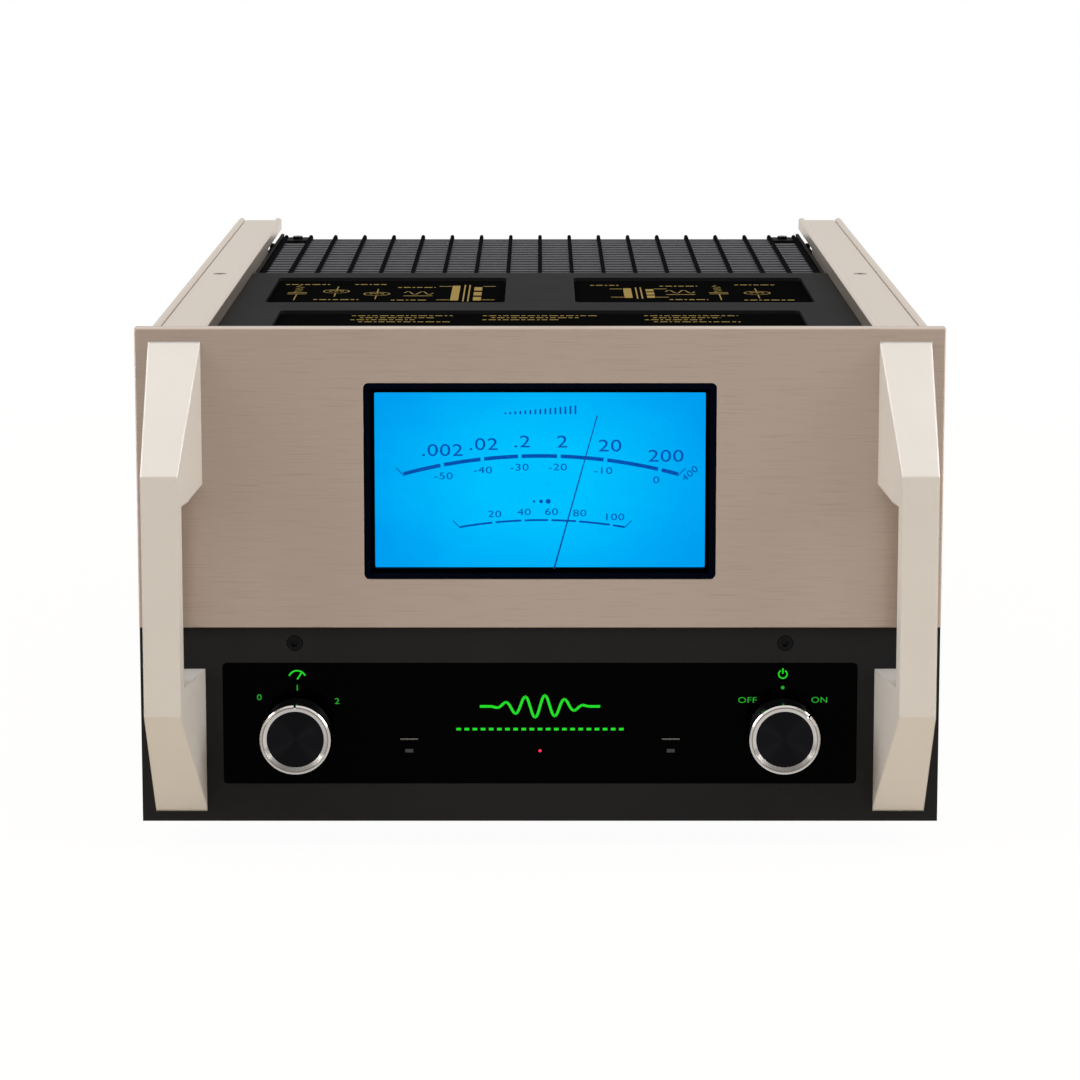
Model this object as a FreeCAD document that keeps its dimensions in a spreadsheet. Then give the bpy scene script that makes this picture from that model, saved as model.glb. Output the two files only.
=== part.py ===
"""Tube power amplifier: panel with a needle meter, two knobs, two grab handles and a wire tube cage.

Millimetres. +X is the amplifier's right as seen from the front, the front faces -Y and +Z is up.
The origin is under the middle of the whole amplifier, on the surface that the feet stand on.
"""
import FreeCAD, Part
import math
import os
import re

import Sketcher

V = FreeCAD.Vector

# Driving dimensions. A height is above the panel's bottom edge, a lift above the plates' joint, a drop below
# the upper edge of the piece, and a recess or depth behind the panel's face.
SIZES = {
    # faceplates
    "foot_height": 15.6,
    "panel_width": 450.8,
    "panel_height": 282.9,
    "panel_thickness": 10.0,
    "panel_round": 0.8,
    "plate_split": 112.9,
    "plate_gap": 0.2,
    "plate_recess": 2.7,
    "side_inset": 7.7,
    # control glass, its lamps and the board behind it
    "glass_margin": 46.4,
    "glass_low": 22.0,
    "glass_drop": 21.0,
    "glass_round": 2.6,
    "glass_thickness": 4.0,
    "glass_ledge": 3.0,
    "seat_gap": 0.15,
    "shaft_hole": 7.0,
    "lamp_height": 41.0,
    "lamp_inset": 105.0,
    "lamp_window_width": 4.5,
    "lamp_window_height": 2.0,
    "lamp_diameter": 1.8,
    "board_border": 14.0,
    "board_height": 44.0,
    "board_thickness": 1.6,
    # two socket screws in the lower plate
    "plate_screw_inset": 40.8,
    "plate_screw_drop": 9.5,
    "plate_screw_head": 8.5,
    "plate_screw_sink": 5.2,
    "plate_screw_diameter": 5.0,
    "screw_gap": 0.3,
    # meter
    "meter_width": 197.0,
    "meter_lift": 27.8,
    "meter_drop": 30.6,
    "meter_round": 3.0,
    "bezel_gap": 0.25,
    "bezel_recess": 0.3,
    "bezel_depth": 6.2,
    "bezel_side": 5.9,
    "bezel_foot": 5.4,
    "bezel_head": 5.8,
    "window_round": 1.2,
    "window_lip": 2.2,
    "window_glass": 2.0,
    "dial_margin": 2.8,
    "dial_thickness": 1.5,
    "light_guide": 3.0,
    "lamp_house_wall": 1.5,
    "lamp_house_depth": 32.0,
    # needle
    "pivot_lift": 4.1,
    "needle_drop": 9.1,
    "needle_angle": 15.4,
    "needle_depth": 4.7,
    "needle_thickness": 0.4,
    "needle_root": 1.0,
    "needle_tip": 0.6,
    "needle_crank": 12.0,
    "needle_tail": 9.0,
    "hub_diameter": 8.0,
    "hub_length": 2.6,
    "hub_gap": 1.4,
    "pivot_pin": 1.6,
    "pin_gap": 0.04,
    "cavity_width": 74.0,
    "cavity_lift": 10.7,
    "cavity_wall": 3.3,
    "movement_diameter": 40.0,
    "movement_length": 20.0,
    # knobs and their switches
    "knob_inset": 42.0,
    "knob_height": 52.9,
    "knob_diameter": 37.8,
    "knob_reach": 20.9,
    "knob_gap": 0.8,
    "knob_chamfer": 0.6,
    "ring_diameter": 39.7,
    "ring_depth": 4.6,
    "ring_lip": 1.5,
    "ring_groove": 0.4,
    "face_diameter": 32.1,
    "face_recess": 1.5,
    "index_width": 0.9,
    "mark_width": 1.3,
    "index_depth": 0.5,
    "power_index_angle": 45.0,
    "shaft_diameter": 6.0,
    "shaft_gap": 0.05,
    "shaft_grip": 14.0,
    "bushing_diameter": 9.4,
    "nut_width": 13.0,
    "nut_thickness": 2.2,
    "switch_width": 30.0,
    "switch_depth": 18.0,
    # handles
    "handle_root_width": 29.0,
    "handle_grip_width": 20.3,
    "handle_depth": 46.0,
    "handle_low": 5.8,
    "handle_drop": 7.2,
    "grip_low": 73.4,
    "grip_drop": 67.7,
    "grip_thickness": 17.0,
    "grip_round": 5.0,
    "grip_hollow": 12.0,
    "finger_low": 88.6,
    "finger_drop": 13.1,
    "finger_slope": 4.6,
    "finger_round": 6.0,
    "boss_round": 2.6,
    "handle_bolt": 8.0,
    "handle_bolt_head": 13.0,
    "handle_bolt_low": 47.0,
    "handle_bolt_drop": 40.7,
    "handle_bolt_grip": 16.0,
    # side rails
    "rail_length": 540.0,
    "rail_width": 30.9,
    "rail_height": 34.0,
    "rail_wall": 3.0,
    "rail_drop": 0.5,
    "bead_width": 4.6,
    "bead_height": 1.5,
    "rail_groove": 0.7,
    "rail_screw_place": 251.5,
    "rail_screw_head": 8.4,
    "rail_screw_diameter": 4.0,
    "rail_slot_length": 117.0,
    "rail_slot_drop": 8.0,
    "rail_slot_height": 7.5,
    # top cover and its glasses
    "cover_drop": 9.8,
    "cover_thickness": 8.0,
    "cover_gap": 0.8,
    "cover_round": 4.0,
    "cover_edge_round": 1.2,
    "pocket_depth": 4.1,
    "pocket_round": 4.0,
    "label_thickness": 2.0,
    "rear_pocket_inner": 21.5,
    "rear_pocket_border": 19.1,
    "rear_pocket_margin": 24.6,
    "rear_pocket_length": 115.0,
    "front_pocket_border": 31.5,
    "front_pocket_place": 28.0,
    "cover_rib": 35.0,
    # cage
    "rod_diameter": 2.6,
    "rod_drop": 11.5,
    "rod_margin": 4.4,
    "rod_edge_pitch": 17.7,
    "rod_bend": 6.0,
    "rod_start": 1.2,
    "cage_inset": 4.0,
    "wire_diameter": 2.4,
    "wire_pitch": 13.2,
    "wire_start": 8.0,
    "weld_gap": 0.04,
    "cage_bar": 2.0,
    "cage_strip_height": 10.0,
    "cage_strip_thickness": 2.0,
    "tab_length": 20.0,
    "tab_screw": 4.0,
    # sheet-metal chassis
    "sheet": 1.5,
    "frame_sheet": 2.0,
    "fit_gap": 0.2,
    "flange": 14.0,
    "deck_height": 106.0,
    "tube_bay": 233.6,
    "vent_length": 90.0,
    "vent_width": 5.0,
    "vent_pitch": 12.0,
    "vent_count": 16.0,
    # tubes
    "tube_pitch": 78.0,
    "tube_row_pitch": 84.0,
    "tube_first_row": 87.6,
    "signal_row": 27.6,
    "output_glass_diameter": 52.0,
    "output_glass_height": 92.0,
    "output_base_diameter": 41.0,
    "output_base_height": 26.0,
    "signal_glass_diameter": 22.0,
    "signal_glass_height": 52.0,
    "glass_wall": 1.2,
    "socket_height": 5.0,
    "socket_depth": 12.0,
    "output_socket_diameter": 46.0,
    "signal_socket_diameter": 26.0,
    # transformers and supply
    "can_width": 132.0,
    "can_length": 146.0,
    "can_height": 168.0,
    "can_round": 10.0,
    "can_foot": 12.0,
    "can_foot_thickness": 4.0,
    "can_inset": 125.0,
    "can_front": 36.0,
    "capacitor_diameter": 50.0,
    "capacitor_height": 105.0,
    "capacitor_pitch": 62.0,
    "capacitor_place": 29.0,
    # rear panel and its connectors
    "rear_drop": 2.0,
    "connector_height": 56.0,
    "inlet_place": 160.0,
    "inlet_width": 27.2,
    "inlet_height": 20.0,
    "inlet_cavity": 16.0,
    "fuse_place": 112.0,
    "fuse_diameter": 12.0,
    "fuse_cap_diameter": 14.5,
    "fuse_cap_length": 12.0,
    "jack_place": 70.0,
    "jack_pitch": 18.0,
    "phono_place": 20.0,
    "phono_barrel": 8.4,
    "xlr_place": 26.0,
    "xlr_diameter": 23.6,
    "post_first": 76.0,
    "post_pitch": 32.0,
    "post_overhang": 26.0,
    "post_stud": 6.0,
    "post_stud_gap": 0.06,
    "post_collar": 19.0,
    "post_collar_length": 5.0,
    "post_cap": 17.0,
    "post_cap_length": 19.0,
    # feet
    "foot_diameter": 46.0,
    "foot_inset": 31.7,
    "foot_front": 100.0,
    "foot_rear": 58.0,
    "foot_screw": 5.0,
}

doc = FreeCAD.newDocument("amplifier")
sheet = doc.addObject("Spreadsheet::Sheet", "Sizes")
gauge = doc.addObject("App::FeaturePython", "Gauge")
gauge.addProperty("App::PropertyFloat", "Reading")

# Places worked out from the sizes, as formulas over the sheet's names.
FACE = "(handle_depth - panel_thickness - rail_length - post_overhang) / 2"
BOTTOM = "foot_height"
TOP = "(foot_height + panel_height)"
SPLIT = "(foot_height + plate_split)"
PLATE_FACE = f"({FACE} + plate_recess)"
PANEL_REAR = f"({FACE} + panel_thickness)"
FRAME_REAR = f"({PANEL_REAR} + frame_sheet)"
RAIL_TOP = f"({TOP} - rail_drop)"
RAIL_END = f"({PANEL_REAR} + rail_length)"
RAIL_OUTER = "(panel_width / 2 - side_inset)"
RAIL_INNER = f"({RAIL_OUTER} - rail_width)"
RAIL_MIDDLE = f"({RAIL_OUTER} - rail_width / 2)"
REAR_FACE = f"({RAIL_END} - rear_drop)"
REAR_INSIDE = f"({REAR_FACE} - frame_sheet)"
BULKHEAD = f"({RAIL_END} - tube_bay)"
COVER_TOP = f"({TOP} - cover_drop)"
COVER_UNDER = f"({COVER_TOP} - cover_thickness)"
COVER_REAR = f"({BULKHEAD} - cover_gap)"
WALL_OUTER = f"({RAIL_OUTER} - rail_wall - seat_gap)"
WALL_INNER = f"({WALL_OUTER} - sheet)"
PLATE_HALF = f"({WALL_INNER} - fit_gap)"
FLOOR_TOP = f"({BOTTOM} + sheet)"
DECK_TOP = f"({BOTTOM} + deck_height)"
GLASS_HALF = "(panel_width / 2 - glass_margin)"
KNOB_SPREAD = f"({GLASS_HALF} - knob_inset)"
PLATE_SCREW_SPREAD = f"({GLASS_HALF} - plate_screw_inset)"
LAMP_SPREAD = f"({GLASS_HALF} - lamp_inset)"
GLASS_LOW = f"({BOTTOM} + glass_low)"
GLASS_HIGH = f"({SPLIT} - glass_drop)"
PLATE_SCREW = f"({SPLIT} - plate_screw_drop)"
METER_LOW = f"({SPLIT} + meter_lift)"
METER_HIGH = f"({TOP} - meter_drop)"
WINDOW_HALF = "(meter_width / 2 - bezel_side)"
WINDOW_LOW = f"({METER_LOW} + bezel_foot)"
WINDOW_HIGH = f"({METER_HIGH} - bezel_head)"
DIAL_FACE = f"({FACE} + bezel_recess + bezel_depth)"
GUIDE_FACE = f"({DIAL_FACE} + dial_thickness)"
PIVOT = f"({SPLIT} + pivot_lift)"
NEEDLE_LENGTH = f"({WINDOW_HIGH} - {PIVOT} - needle_drop)"
HANDLE_MIDDLE = f"({RAIL_OUTER} - handle_root_width / 2)"
HANDLE_HIGH = f"({TOP} - handle_drop)"
GRIP_HIGH = f"({HANDLE_HIGH} - grip_drop)"
FINGER_HIGH = f"({GRIP_HIGH} - finger_drop)"
GRIP_REAR = f"({FACE} - handle_depth + grip_thickness)"
HANDLE_BOLTS = (f"({BOTTOM} + handle_bolt_low)", f"({HANDLE_HIGH} - handle_bolt_drop)")
KNOB_MIDDLE = f"({BOTTOM} + knob_height)"
LAMP_MIDDLE = f"({BOTTOM} + lamp_height)"
ROD_PITCH = f"(({RAIL_INNER} - rod_margin - 2 * rod_edge_pitch) / 7)"
ROD_MIDDLE = f"({TOP} - rod_drop - rod_diameter / 2)"
WIRE_MIDDLE = f"({ROD_MIDDLE} - rod_diameter / 2 - wire_diameter / 2 - weld_gap)"
CAGE_REAR = f"({RAIL_END} - cage_inset)"
CONNECTOR = f"({BOTTOM} + connector_height)"

finished = []


def fill_sheet():
    """Put every driving dimension in the sheet under its own name."""
    for row, (alias, size) in enumerate(SIZES.items(), start=1):
        sheet.set(f"A{row}", alias)
        sheet.set(f"B{row}", str(size))
        sheet.setAlias(f"B{row}", alias)
    doc.recompute()


def formula(text):
    """Point each size name in a formula at the sheet."""
    def point(word):
        return f"Sizes.{word[0]}" if word[0] in SIZES else word[0]

    return re.sub(r"[a-z][a-z0-9_]*", point, text)


def bind(item, path, text):
    """Tie one property of an object to a formula."""
    item.setExpression(path, formula(text))


def size(text):
    """The number that a formula gives now, read off a spare property."""
    bind(gauge, "Reading", text)
    gauge.recompute()
    return gauge.Reading


def done(item, label):
    """Give a finished sub-part its name and keep it for the export."""
    item.Label = label
    finished.append(item)
    return item


# Plain solids

def box(name, x, y, z):
    """A block between two formulas along each axis."""
    item = doc.addObject("Part::Box", name)
    for path, (low, high) in zip(("Length", "Width", "Height"), (x, y, z)):
        bind(item, path, f"({high}) - ({low})")
    for path, (low, _) in zip("xyz", (x, y, z)):
        bind(item, f"Placement.Base.{path}", low)
    return item


def place(item, x, y, z):
    """Tie an object's place to three formulas."""
    for path, text in zip("xyz", (x, y, z)):
        bind(item, f"Placement.Base.{path}", text)
    return item


def cylinder(name, direction, start, length, radius):
    """A round bar from a start point along a direction."""
    item = doc.addObject("Part::Cylinder", name)
    bind(item, "Radius", radius)
    bind(item, "Height", length)
    item.Placement.Rotation = FreeCAD.Rotation(V(0, 0, 1), direction)
    return place(item, *start)


def hexagon(name, direction, start, length, across):
    """A six-sided prism, sized across its flats."""
    item = doc.addObject("Part::Prism", name)
    item.Polygon = 6
    bind(item, "Circumradius", f"({across}) / sqrt(3)")
    bind(item, "Height", length)
    item.Placement.Rotation = FreeCAD.Rotation(V(0, 0, 1), direction)
    return place(item, *start)


def fuse(name, items):
    """Join overlapping or touching solids."""
    joined = doc.addObject("Part::MultiFuse", name)
    joined.Shapes = items
    joined.Refine = True
    return joined


def cut(name, base, tools):
    """Take one or more tools away from a solid."""
    item = doc.addObject("Part::Cut", name)
    item.Base = base
    item.Tool = tools[0] if len(tools) == 1 else fuse(f"{name}_tools", tools)
    return item


def group(name, items):
    """Keep separate solids together as one sub-part."""
    together = doc.addObject("Part::Compound", name)
    together.Links = items
    return together


def copies(name, source, moves):
    """Separate copies of one finished shape, each moved by a vector."""
    return scattered(name, ((source, moves),))


def scattered(name, sources):
    """Copies of several finished shapes in one sub-part, each with its own list of moves."""
    doc.recompute()
    item = doc.addObject("Part::Feature", name)
    item.Shape = Part.makeCompound([
        source.Shape.translated(move) for source, moves in sources for move in moves
    ])
    return item


def mirrored(name, source):
    """The same piece for the other side of the amplifier."""
    item = doc.addObject("Part::Mirroring", name)
    item.Source = source
    item.Normal = V(1, 0, 0)
    return item


ALONG_X, ALONG_Y, ALONG_Z = V(1, 0, 0), V(0, 1, 0), V(0, 0, 1)


def socket_screw(name, point, forward, head, head_height, diameter, length, key):
    """A cap screw whose tip points forward, with its head's underside at the point."""
    back = V(0, 0, 0) - forward
    x, y, z = point
    lift = {axis: f"({part}) * ({head_height})" for axis, part in zip("xyz", (back.x, back.y, back.z))}
    crown = [f"({value}) + {lift[axis]}" for axis, value in zip("xyz", (x, y, z))]
    cap = cylinder(f"{name}_cap", back, (x, y, z), head_height, f"({head}) / 2")
    shank = cylinder(f"{name}_shank", forward, (x, y, z), length, f"({diameter}) / 2")
    socket = hexagon(f"{name}_socket", forward, crown, f"({head_height}) / 2", key)
    return cut(name, fuse(f"{name}_blank", [cap, shank]), [socket])


# Bodies, sketches and features

def new_body(label):
    """An empty body that becomes one sub-part."""
    body = doc.addObject("PartDesign::Body", label)
    return body


def sketch_on(body, name, plane, offset="0"):
    """A sketch on one of the body's own origin planes, lifted along the plane's normal."""
    sketch = body.newObject("Sketcher::SketchObject", name)
    support = next(item for item in body.Origin.OriginFeatures if item.Role == plane)
    sketch.AttachmentSupport = [(support, "")]
    sketch.MapMode = "FlatFace"
    bind(sketch, "AttachmentOffset.Base.z", offset)
    return sketch


def front_sketch(body, name, depth):
    """A sketch in a plane parallel to the faceplate; its sides are X and Z."""
    return sketch_on(body, name, "XZ_Plane", f"-({depth})")


def hold(sketch, geometry, point, u, v):
    """Hold one point of a sketch at two formulas from the origin."""
    for kind, text, axis in (("DistanceX", u, -2), ("DistanceY", v, -1)):
        value = size(text)
        if abs(value) < 1e-9:
            sketch.addConstraint(Sketcher.Constraint("PointOnObject", geometry, point, axis))
            continue
        index = sketch.addConstraint(Sketcher.Constraint(kind, -1, 1, geometry, point, value))
        sketch.setExpression(f"Constraints[{index}]", formula(text))


def circle(sketch, u, v, radius):
    """A circle held at its middle."""
    middle = V(size(u), size(v), 0)
    index = sketch.addGeometry(Part.Circle(middle, V(0, 0, 1), size(radius)), False)
    rim = sketch.addConstraint(Sketcher.Constraint("Radius", index, size(radius)))
    sketch.setExpression(f"Constraints[{rim}]", formula(radius))
    hold(sketch, index, 3, u, v)


def arc_through(start, end, radius, turn):
    """The short arc of a radius from one point to another; turn is 1 for anticlockwise."""
    chord = end - start
    half = chord.Length / 2
    normal = V(-chord.y, chord.x, 0).normalize() * turn
    middle = (start + end) / 2 + normal * math.sqrt(max(radius * radius - half * half, 0))
    angles = [math.atan2(point.y - middle.y, point.x - middle.x) for point in (start, end)]
    if turn < 0:
        angles.reverse()
    if angles[1] < angles[0]:
        angles[1] += 2 * math.pi
    return Part.ArcOfCircle(Part.Circle(middle, V(0, 0, 1), radius), *angles)


def outline(sketch, points):
    """A closed outline of corner points; a point with a radius and a turn is reached by an arc."""
    places = [V(size(point[0]), size(point[1]), 0) for point in points]
    ends = []
    for index, (start, end) in enumerate(zip(places, places[1:] + places[:1])):
        target = points[(index + 1) % len(points)]
        if len(target) == 2:
            edge = sketch.addGeometry(Part.LineSegment(start, end), False)
            ends.append((edge, 1, 2))
            continue
        edge = sketch.addGeometry(arc_through(start, end, size(target[2]), target[3]), False)
        rim = sketch.addConstraint(Sketcher.Constraint("Radius", edge, size(target[2])))
        sketch.setExpression(f"Constraints[{rim}]", formula(target[2]))
        ends.append((edge, 1, 2) if target[3] > 0 else (edge, 2, 1))
    for index, (edge, _, tail) in enumerate(ends):
        following, head, _ = ends[(index + 1) % len(ends)]
        sketch.addConstraint(Sketcher.Constraint("Coincident", edge, tail, following, head))
    for (edge, head, _), point in zip(ends, points):
        hold(sketch, edge, head, point[0], point[1])


def rectangle(sketch, u, v, corner=None):
    """A rectangle between two formulas each way, with round corners if a radius is given."""
    (left, right), (low, high) = u, v
    if corner is None:
        outline(sketch, [(left, low), (right, low), (right, high), (left, high)])
        return
    inset = f"({corner})"
    outline(sketch, [
        (f"({left}) + {inset}", low, inset, 1),
        (f"({right}) - {inset}", low),
        (right, f"({low}) + {inset}", inset, 1),
        (right, f"({high}) - {inset}"),
        (f"({right}) - {inset}", high, inset, 1),
        (f"({left}) + {inset}", high),
        (left, f"({high}) - {inset}", inset, 1),
        (left, f"({low}) + {inset}"),
    ])


def pad(body, sketch, length, reverse=False, both=False):
    """Grow a sketch into a solid."""
    feature = body.newObject("PartDesign::Pad", f"{sketch.Name}_pad")
    feature.Profile = sketch
    bind(feature, "Length", length)
    feature.Reversed = reverse
    feature.Midplane = both
    return feature


def pocket(body, sketch, length=None, reverse=False, both=False):
    """Cut a sketch into the body, all the way through unless a depth is given."""
    feature = body.newObject("PartDesign::Pocket", f"{sketch.Name}_pocket")
    feature.Profile = sketch
    feature.Reversed = reverse
    feature.Midplane = both
    if length is None:
        feature.Type = "ThroughAll"
    else:
        bind(feature, "Length", length)
    return feature


def revolve(body, sketch):
    """Turn a sketch once round its own upright axis."""
    feature = body.newObject("PartDesign::Revolution", f"{sketch.Name}_turned")
    feature.Profile = sketch
    feature.ReferenceAxis = (sketch, ["V_Axis"])
    feature.Angle = 360
    return feature


def round_edges(body, radius, choose, kind="Fillet"):
    """Round or bevel the edges of the body's tip that the test picks."""
    doc.recompute()
    tip = body.Tip
    names = [f"Edge{index}" for index, edge in enumerate(tip.Shape.Edges, start=1) if choose(edge)]
    feature = body.newObject(f"PartDesign::{kind}", f"{tip.Name}_{kind.lower()}")
    feature.Base = (tip, names)
    bind(feature, "Radius" if kind == "Fillet" else "Size", radius)
    return feature


def edge_middle(edge):
    """The point halfway along an edge."""
    return edge.valueAt((edge.FirstParameter + edge.LastParameter) / 2)


def runs_along(edge, direction):
    """True for a straight edge in the given direction."""
    first, last = edge.Vertexes[0].Point, edge.Vertexes[-1].Point
    length = (last - first).Length
    return length > 1e-6 and abs((last - first).dot(direction)) > 0.999 * length


def near(value, text, room=0.01):
    """True when a number is at the place that a formula gives."""
    return abs(value - size(text)) < room


# Faceplates

def make_front_panel():
    """The upper plate with the meter opening and a cavity behind for the needle's crank."""
    body = new_body("front_panel")
    face = front_sketch(body, "panel_outline", FACE)
    rectangle(face, ("-panel_width / 2", "panel_width / 2"), (SPLIT, TOP))
    pad(body, face, "panel_thickness", reverse=True)
    round_edges(body, "panel_round", lambda edge: near(edge_middle(edge).y, FACE))
    opening = front_sketch(body, "panel_opening", FACE)
    rectangle(opening, ("-meter_width / 2", "meter_width / 2"),
              (METER_LOW, METER_HIGH), "meter_round")
    pocket(body, opening)
    cavity = front_sketch(body, "panel_cavity", PANEL_REAR)
    rectangle(cavity, ("-cavity_width / 2", "cavity_width / 2"),
              (f"{SPLIT} + cavity_lift", f"{METER_LOW} + meter_round"))
    pocket(body, cavity, "panel_thickness - cavity_wall", reverse=True)
    bolts = front_sketch(body, "panel_bolt_holes", FACE)
    for side in ("", "-"):
        circle(bolts, f"{side}{HANDLE_MIDDLE}", HANDLE_BOLTS[1], "handle_bolt / 2 + screw_gap")
    pocket(body, bolts)
    return done(body, "front_panel")


def make_control_panel():
    """The lower plate with a ledged opening for the glass and two sunk socket screws."""
    body = new_body("control_panel")
    face = front_sketch(body, "control_outline", PLATE_FACE)
    rectangle(face, ("-panel_width / 2", "panel_width / 2"), (BOTTOM, f"{SPLIT} - plate_gap"))
    pad(body, face, "panel_thickness - plate_recess", reverse=True)
    seat = front_sketch(body, "control_seat", PLATE_FACE)
    rectangle(seat, (f"-{GLASS_HALF} - seat_gap", f"{GLASS_HALF} + seat_gap"),
              (f"{GLASS_LOW} - seat_gap", f"{GLASS_HIGH} + seat_gap"), "glass_round")
    pocket(body, seat, "glass_thickness")
    ledge = front_sketch(body, "control_window", PLATE_FACE)
    rectangle(ledge, (f"-{GLASS_HALF} + glass_ledge", f"{GLASS_HALF} - glass_ledge"),
              (f"{GLASS_LOW} + glass_ledge", f"{GLASS_HIGH} - glass_ledge"))
    pocket(body, ledge)
    heads = front_sketch(body, "control_screw_heads", PLATE_FACE)
    shanks = front_sketch(body, "control_screw_shanks", PLATE_FACE)
    for side in ("", "-"):
        spot = (f"{side}{PLATE_SCREW_SPREAD}", PLATE_SCREW)
        circle(heads, *spot, "plate_screw_head / 2 + screw_gap")
        circle(shanks, *spot, "plate_screw_diameter / 2 + screw_gap")
        circle(shanks, f"{side}{HANDLE_MIDDLE}", HANDLE_BOLTS[0], "handle_bolt / 2 + screw_gap")
    pocket(body, heads, "plate_screw_sink")
    pocket(body, shanks)
    return done(body, "control_panel")


def make_control_glass():
    """The flush pane with holes for the two shafts and the three lamps."""
    body = new_body("control_glass")
    face = front_sketch(body, "glass_outline", PLATE_FACE)
    rectangle(face, (f"-{GLASS_HALF}", GLASS_HALF), (GLASS_LOW, GLASS_HIGH), "glass_round - seat_gap")
    pad(body, face, "glass_thickness", reverse=True)
    holes = front_sketch(body, "glass_holes", PLATE_FACE)
    for side in ("", "-"):
        circle(holes, f"{side}{KNOB_SPREAD}", KNOB_MIDDLE, "shaft_hole / 2")
        rectangle(holes, lamp_window_span(side, "seat_gap"), lamp_height_span("seat_gap"))
    circle(holes, "0", LAMP_MIDDLE, "lamp_diameter / 2 + seat_gap")
    pocket(body, holes)
    return done(body, "control_glass")


def lamp_window_span(side, room):
    """The two edges of a lamp window along X, with some room round it."""
    middle, half = f"{side}{LAMP_SPREAD}", f"(lamp_window_width / 2 + {room})"
    return (f"{middle} - {half}", f"{middle} + {half}")


def lamp_height_span(room):
    """The lower and upper edge of a lamp window, with some room round it."""
    half = f"(lamp_window_height / 2 + {room})"
    return (f"{LAMP_MIDDLE} - {half}", f"{LAMP_MIDDLE} + {half}")


def make_control_panel_screws():
    """The two cap screws that hold the lower plate to the frame behind it."""
    length = "panel_thickness - plate_recess - plate_screw_sink + 3 * frame_sheet"
    screws = [
        socket_screw(f"plate_screw_{name}",
                     (f"{side}{PLATE_SCREW_SPREAD}", f"{PLATE_FACE} + plate_screw_sink", PLATE_SCREW),
                     ALONG_Y, "plate_screw_head", "plate_screw_diameter", "plate_screw_diameter", length,
                     "plate_screw_head / 2")
        for name, side in (("left", "-"), ("right", ""))
    ]
    return done(group("control_panel_screws", screws), "control_panel_screws")


def make_indicator_lamps():
    """A round lamp in the middle and a small window lamp each side, flush with the glass."""
    back = f"{PANEL_REAR} - board_thickness - fit_gap"
    lamps = [cylinder("middle_lamp", ALONG_Y, ("0", PLATE_FACE, LAMP_MIDDLE), f"{back} - {PLATE_FACE}",
                      "lamp_diameter / 2")]
    for name, side in (("left", "-"), ("right", "")):
        lamps.append(box(f"{name}_lamp", lamp_window_span(side, "0"), (PLATE_FACE, back),
                         lamp_height_span("0")))
    return done(group("indicator_lamps", lamps), "indicator_lamps")


def make_display_board():
    """The circuit board that carries the lamps, between the glass and the frame."""
    board = box("display_board", (f"-{LAMP_SPREAD} - board_border", f"{LAMP_SPREAD} + board_border"),
                (f"{PANEL_REAR} - board_thickness", PANEL_REAR),
                (f"{LAMP_MIDDLE} - board_height / 4", f"{LAMP_MIDDLE} + board_height * 3 / 4"))
    return done(board, "display_board")


# Handles

def make_handles():
    """A bar with sloped ends, narrowing forward, and a rounded finger opening through it."""
    body = new_body("handle_right")
    side = sketch_on(body, "handle_side", "YZ_Plane", RAIL_OUTER)
    outline(side, [
        (FACE, HANDLE_HIGH),
        (f"{FACE} - handle_depth", GRIP_HIGH),
        (f"{FACE} - handle_depth", f"{BOTTOM} + grip_low"),
        (PLATE_FACE, f"{BOTTOM} + handle_low"),
        (PLATE_FACE, f"{BOTTOM} + finger_low + boss_round"),
        (FACE, f"{BOTTOM} + finger_low + 2 * boss_round"),
    ])
    pad(body, side, "handle_root_width", reverse=True)
    taper = sketch_on(body, "handle_taper", "XY_Plane", BOTTOM)
    narrow, root = f"{RAIL_OUTER} - handle_grip_width", f"{RAIL_OUTER} - handle_root_width"
    outline(taper, [
        (narrow, f"{FACE} - handle_depth"),
        (root, FACE),
        (f"{root} - panel_round", FACE),
        (f"{root} - panel_round", f"{FACE} - handle_depth - panel_round"),
        (narrow, f"{FACE} - handle_depth - panel_round"),
    ])
    pocket(body, taper, "panel_height", reverse=True)
    finger = sketch_on(body, "handle_finger_gap", "YZ_Plane", RAIL_OUTER)
    outline(finger, [
        (GRIP_REAR, f"{BOTTOM} + finger_low"),
        (f"{PLATE_FACE} + panel_round", f"{BOTTOM} + finger_low"),
        (f"{PLATE_FACE} + panel_round", FINGER_HIGH),
        (FACE, FINGER_HIGH),
        (GRIP_REAR, f"{FINGER_HIGH} - finger_slope"),
    ])
    pocket(body, finger, "handle_root_width")
    round_edges(body, "finger_round", lambda edge: runs_along(edge, ALONG_X)
                and near(edge_middle(edge).y, GRIP_REAR))
    round_edges(body, "grip_round", is_grip_edge)
    slant = "((handle_root_width - handle_grip_width) / handle_depth)"
    hollow = sketch_on(body, "handle_hollow", "XY_Plane", f"{BOTTOM} + finger_low")
    outline(hollow, [
        (f"{narrow} - {slant} * grip_thickness + grip_hollow", GRIP_REAR, "grip_hollow / 1.2", -1),
        (f"{narrow} - {slant} * grip_thickness + grip_hollow", f"{GRIP_REAR} + finger_round"),
        (f"{root} - panel_round", f"{GRIP_REAR} + finger_round"),
        (f"{root} - panel_round", f"{GRIP_REAR} - grip_hollow"),
        (f"{narrow} - {slant} * (grip_thickness - grip_hollow)", f"{GRIP_REAR} - grip_hollow"),
    ])
    pocket(body, hollow, f"{FINGER_HIGH} - finger_slope - {BOTTOM} - finger_low", reverse=True)
    bolts = front_sketch(body, "handle_bolt_holes", PLATE_FACE)
    for height in HANDLE_BOLTS:
        circle(bolts, HANDLE_MIDDLE, height, "handle_bolt / 2 + fit_gap")
    pocket(body, bolts, "handle_bolt_grip + plate_recess + screw_gap", reverse=True)
    done(body, "handle_right")
    return done(mirrored("handle_left", body), "handle_left")


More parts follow.
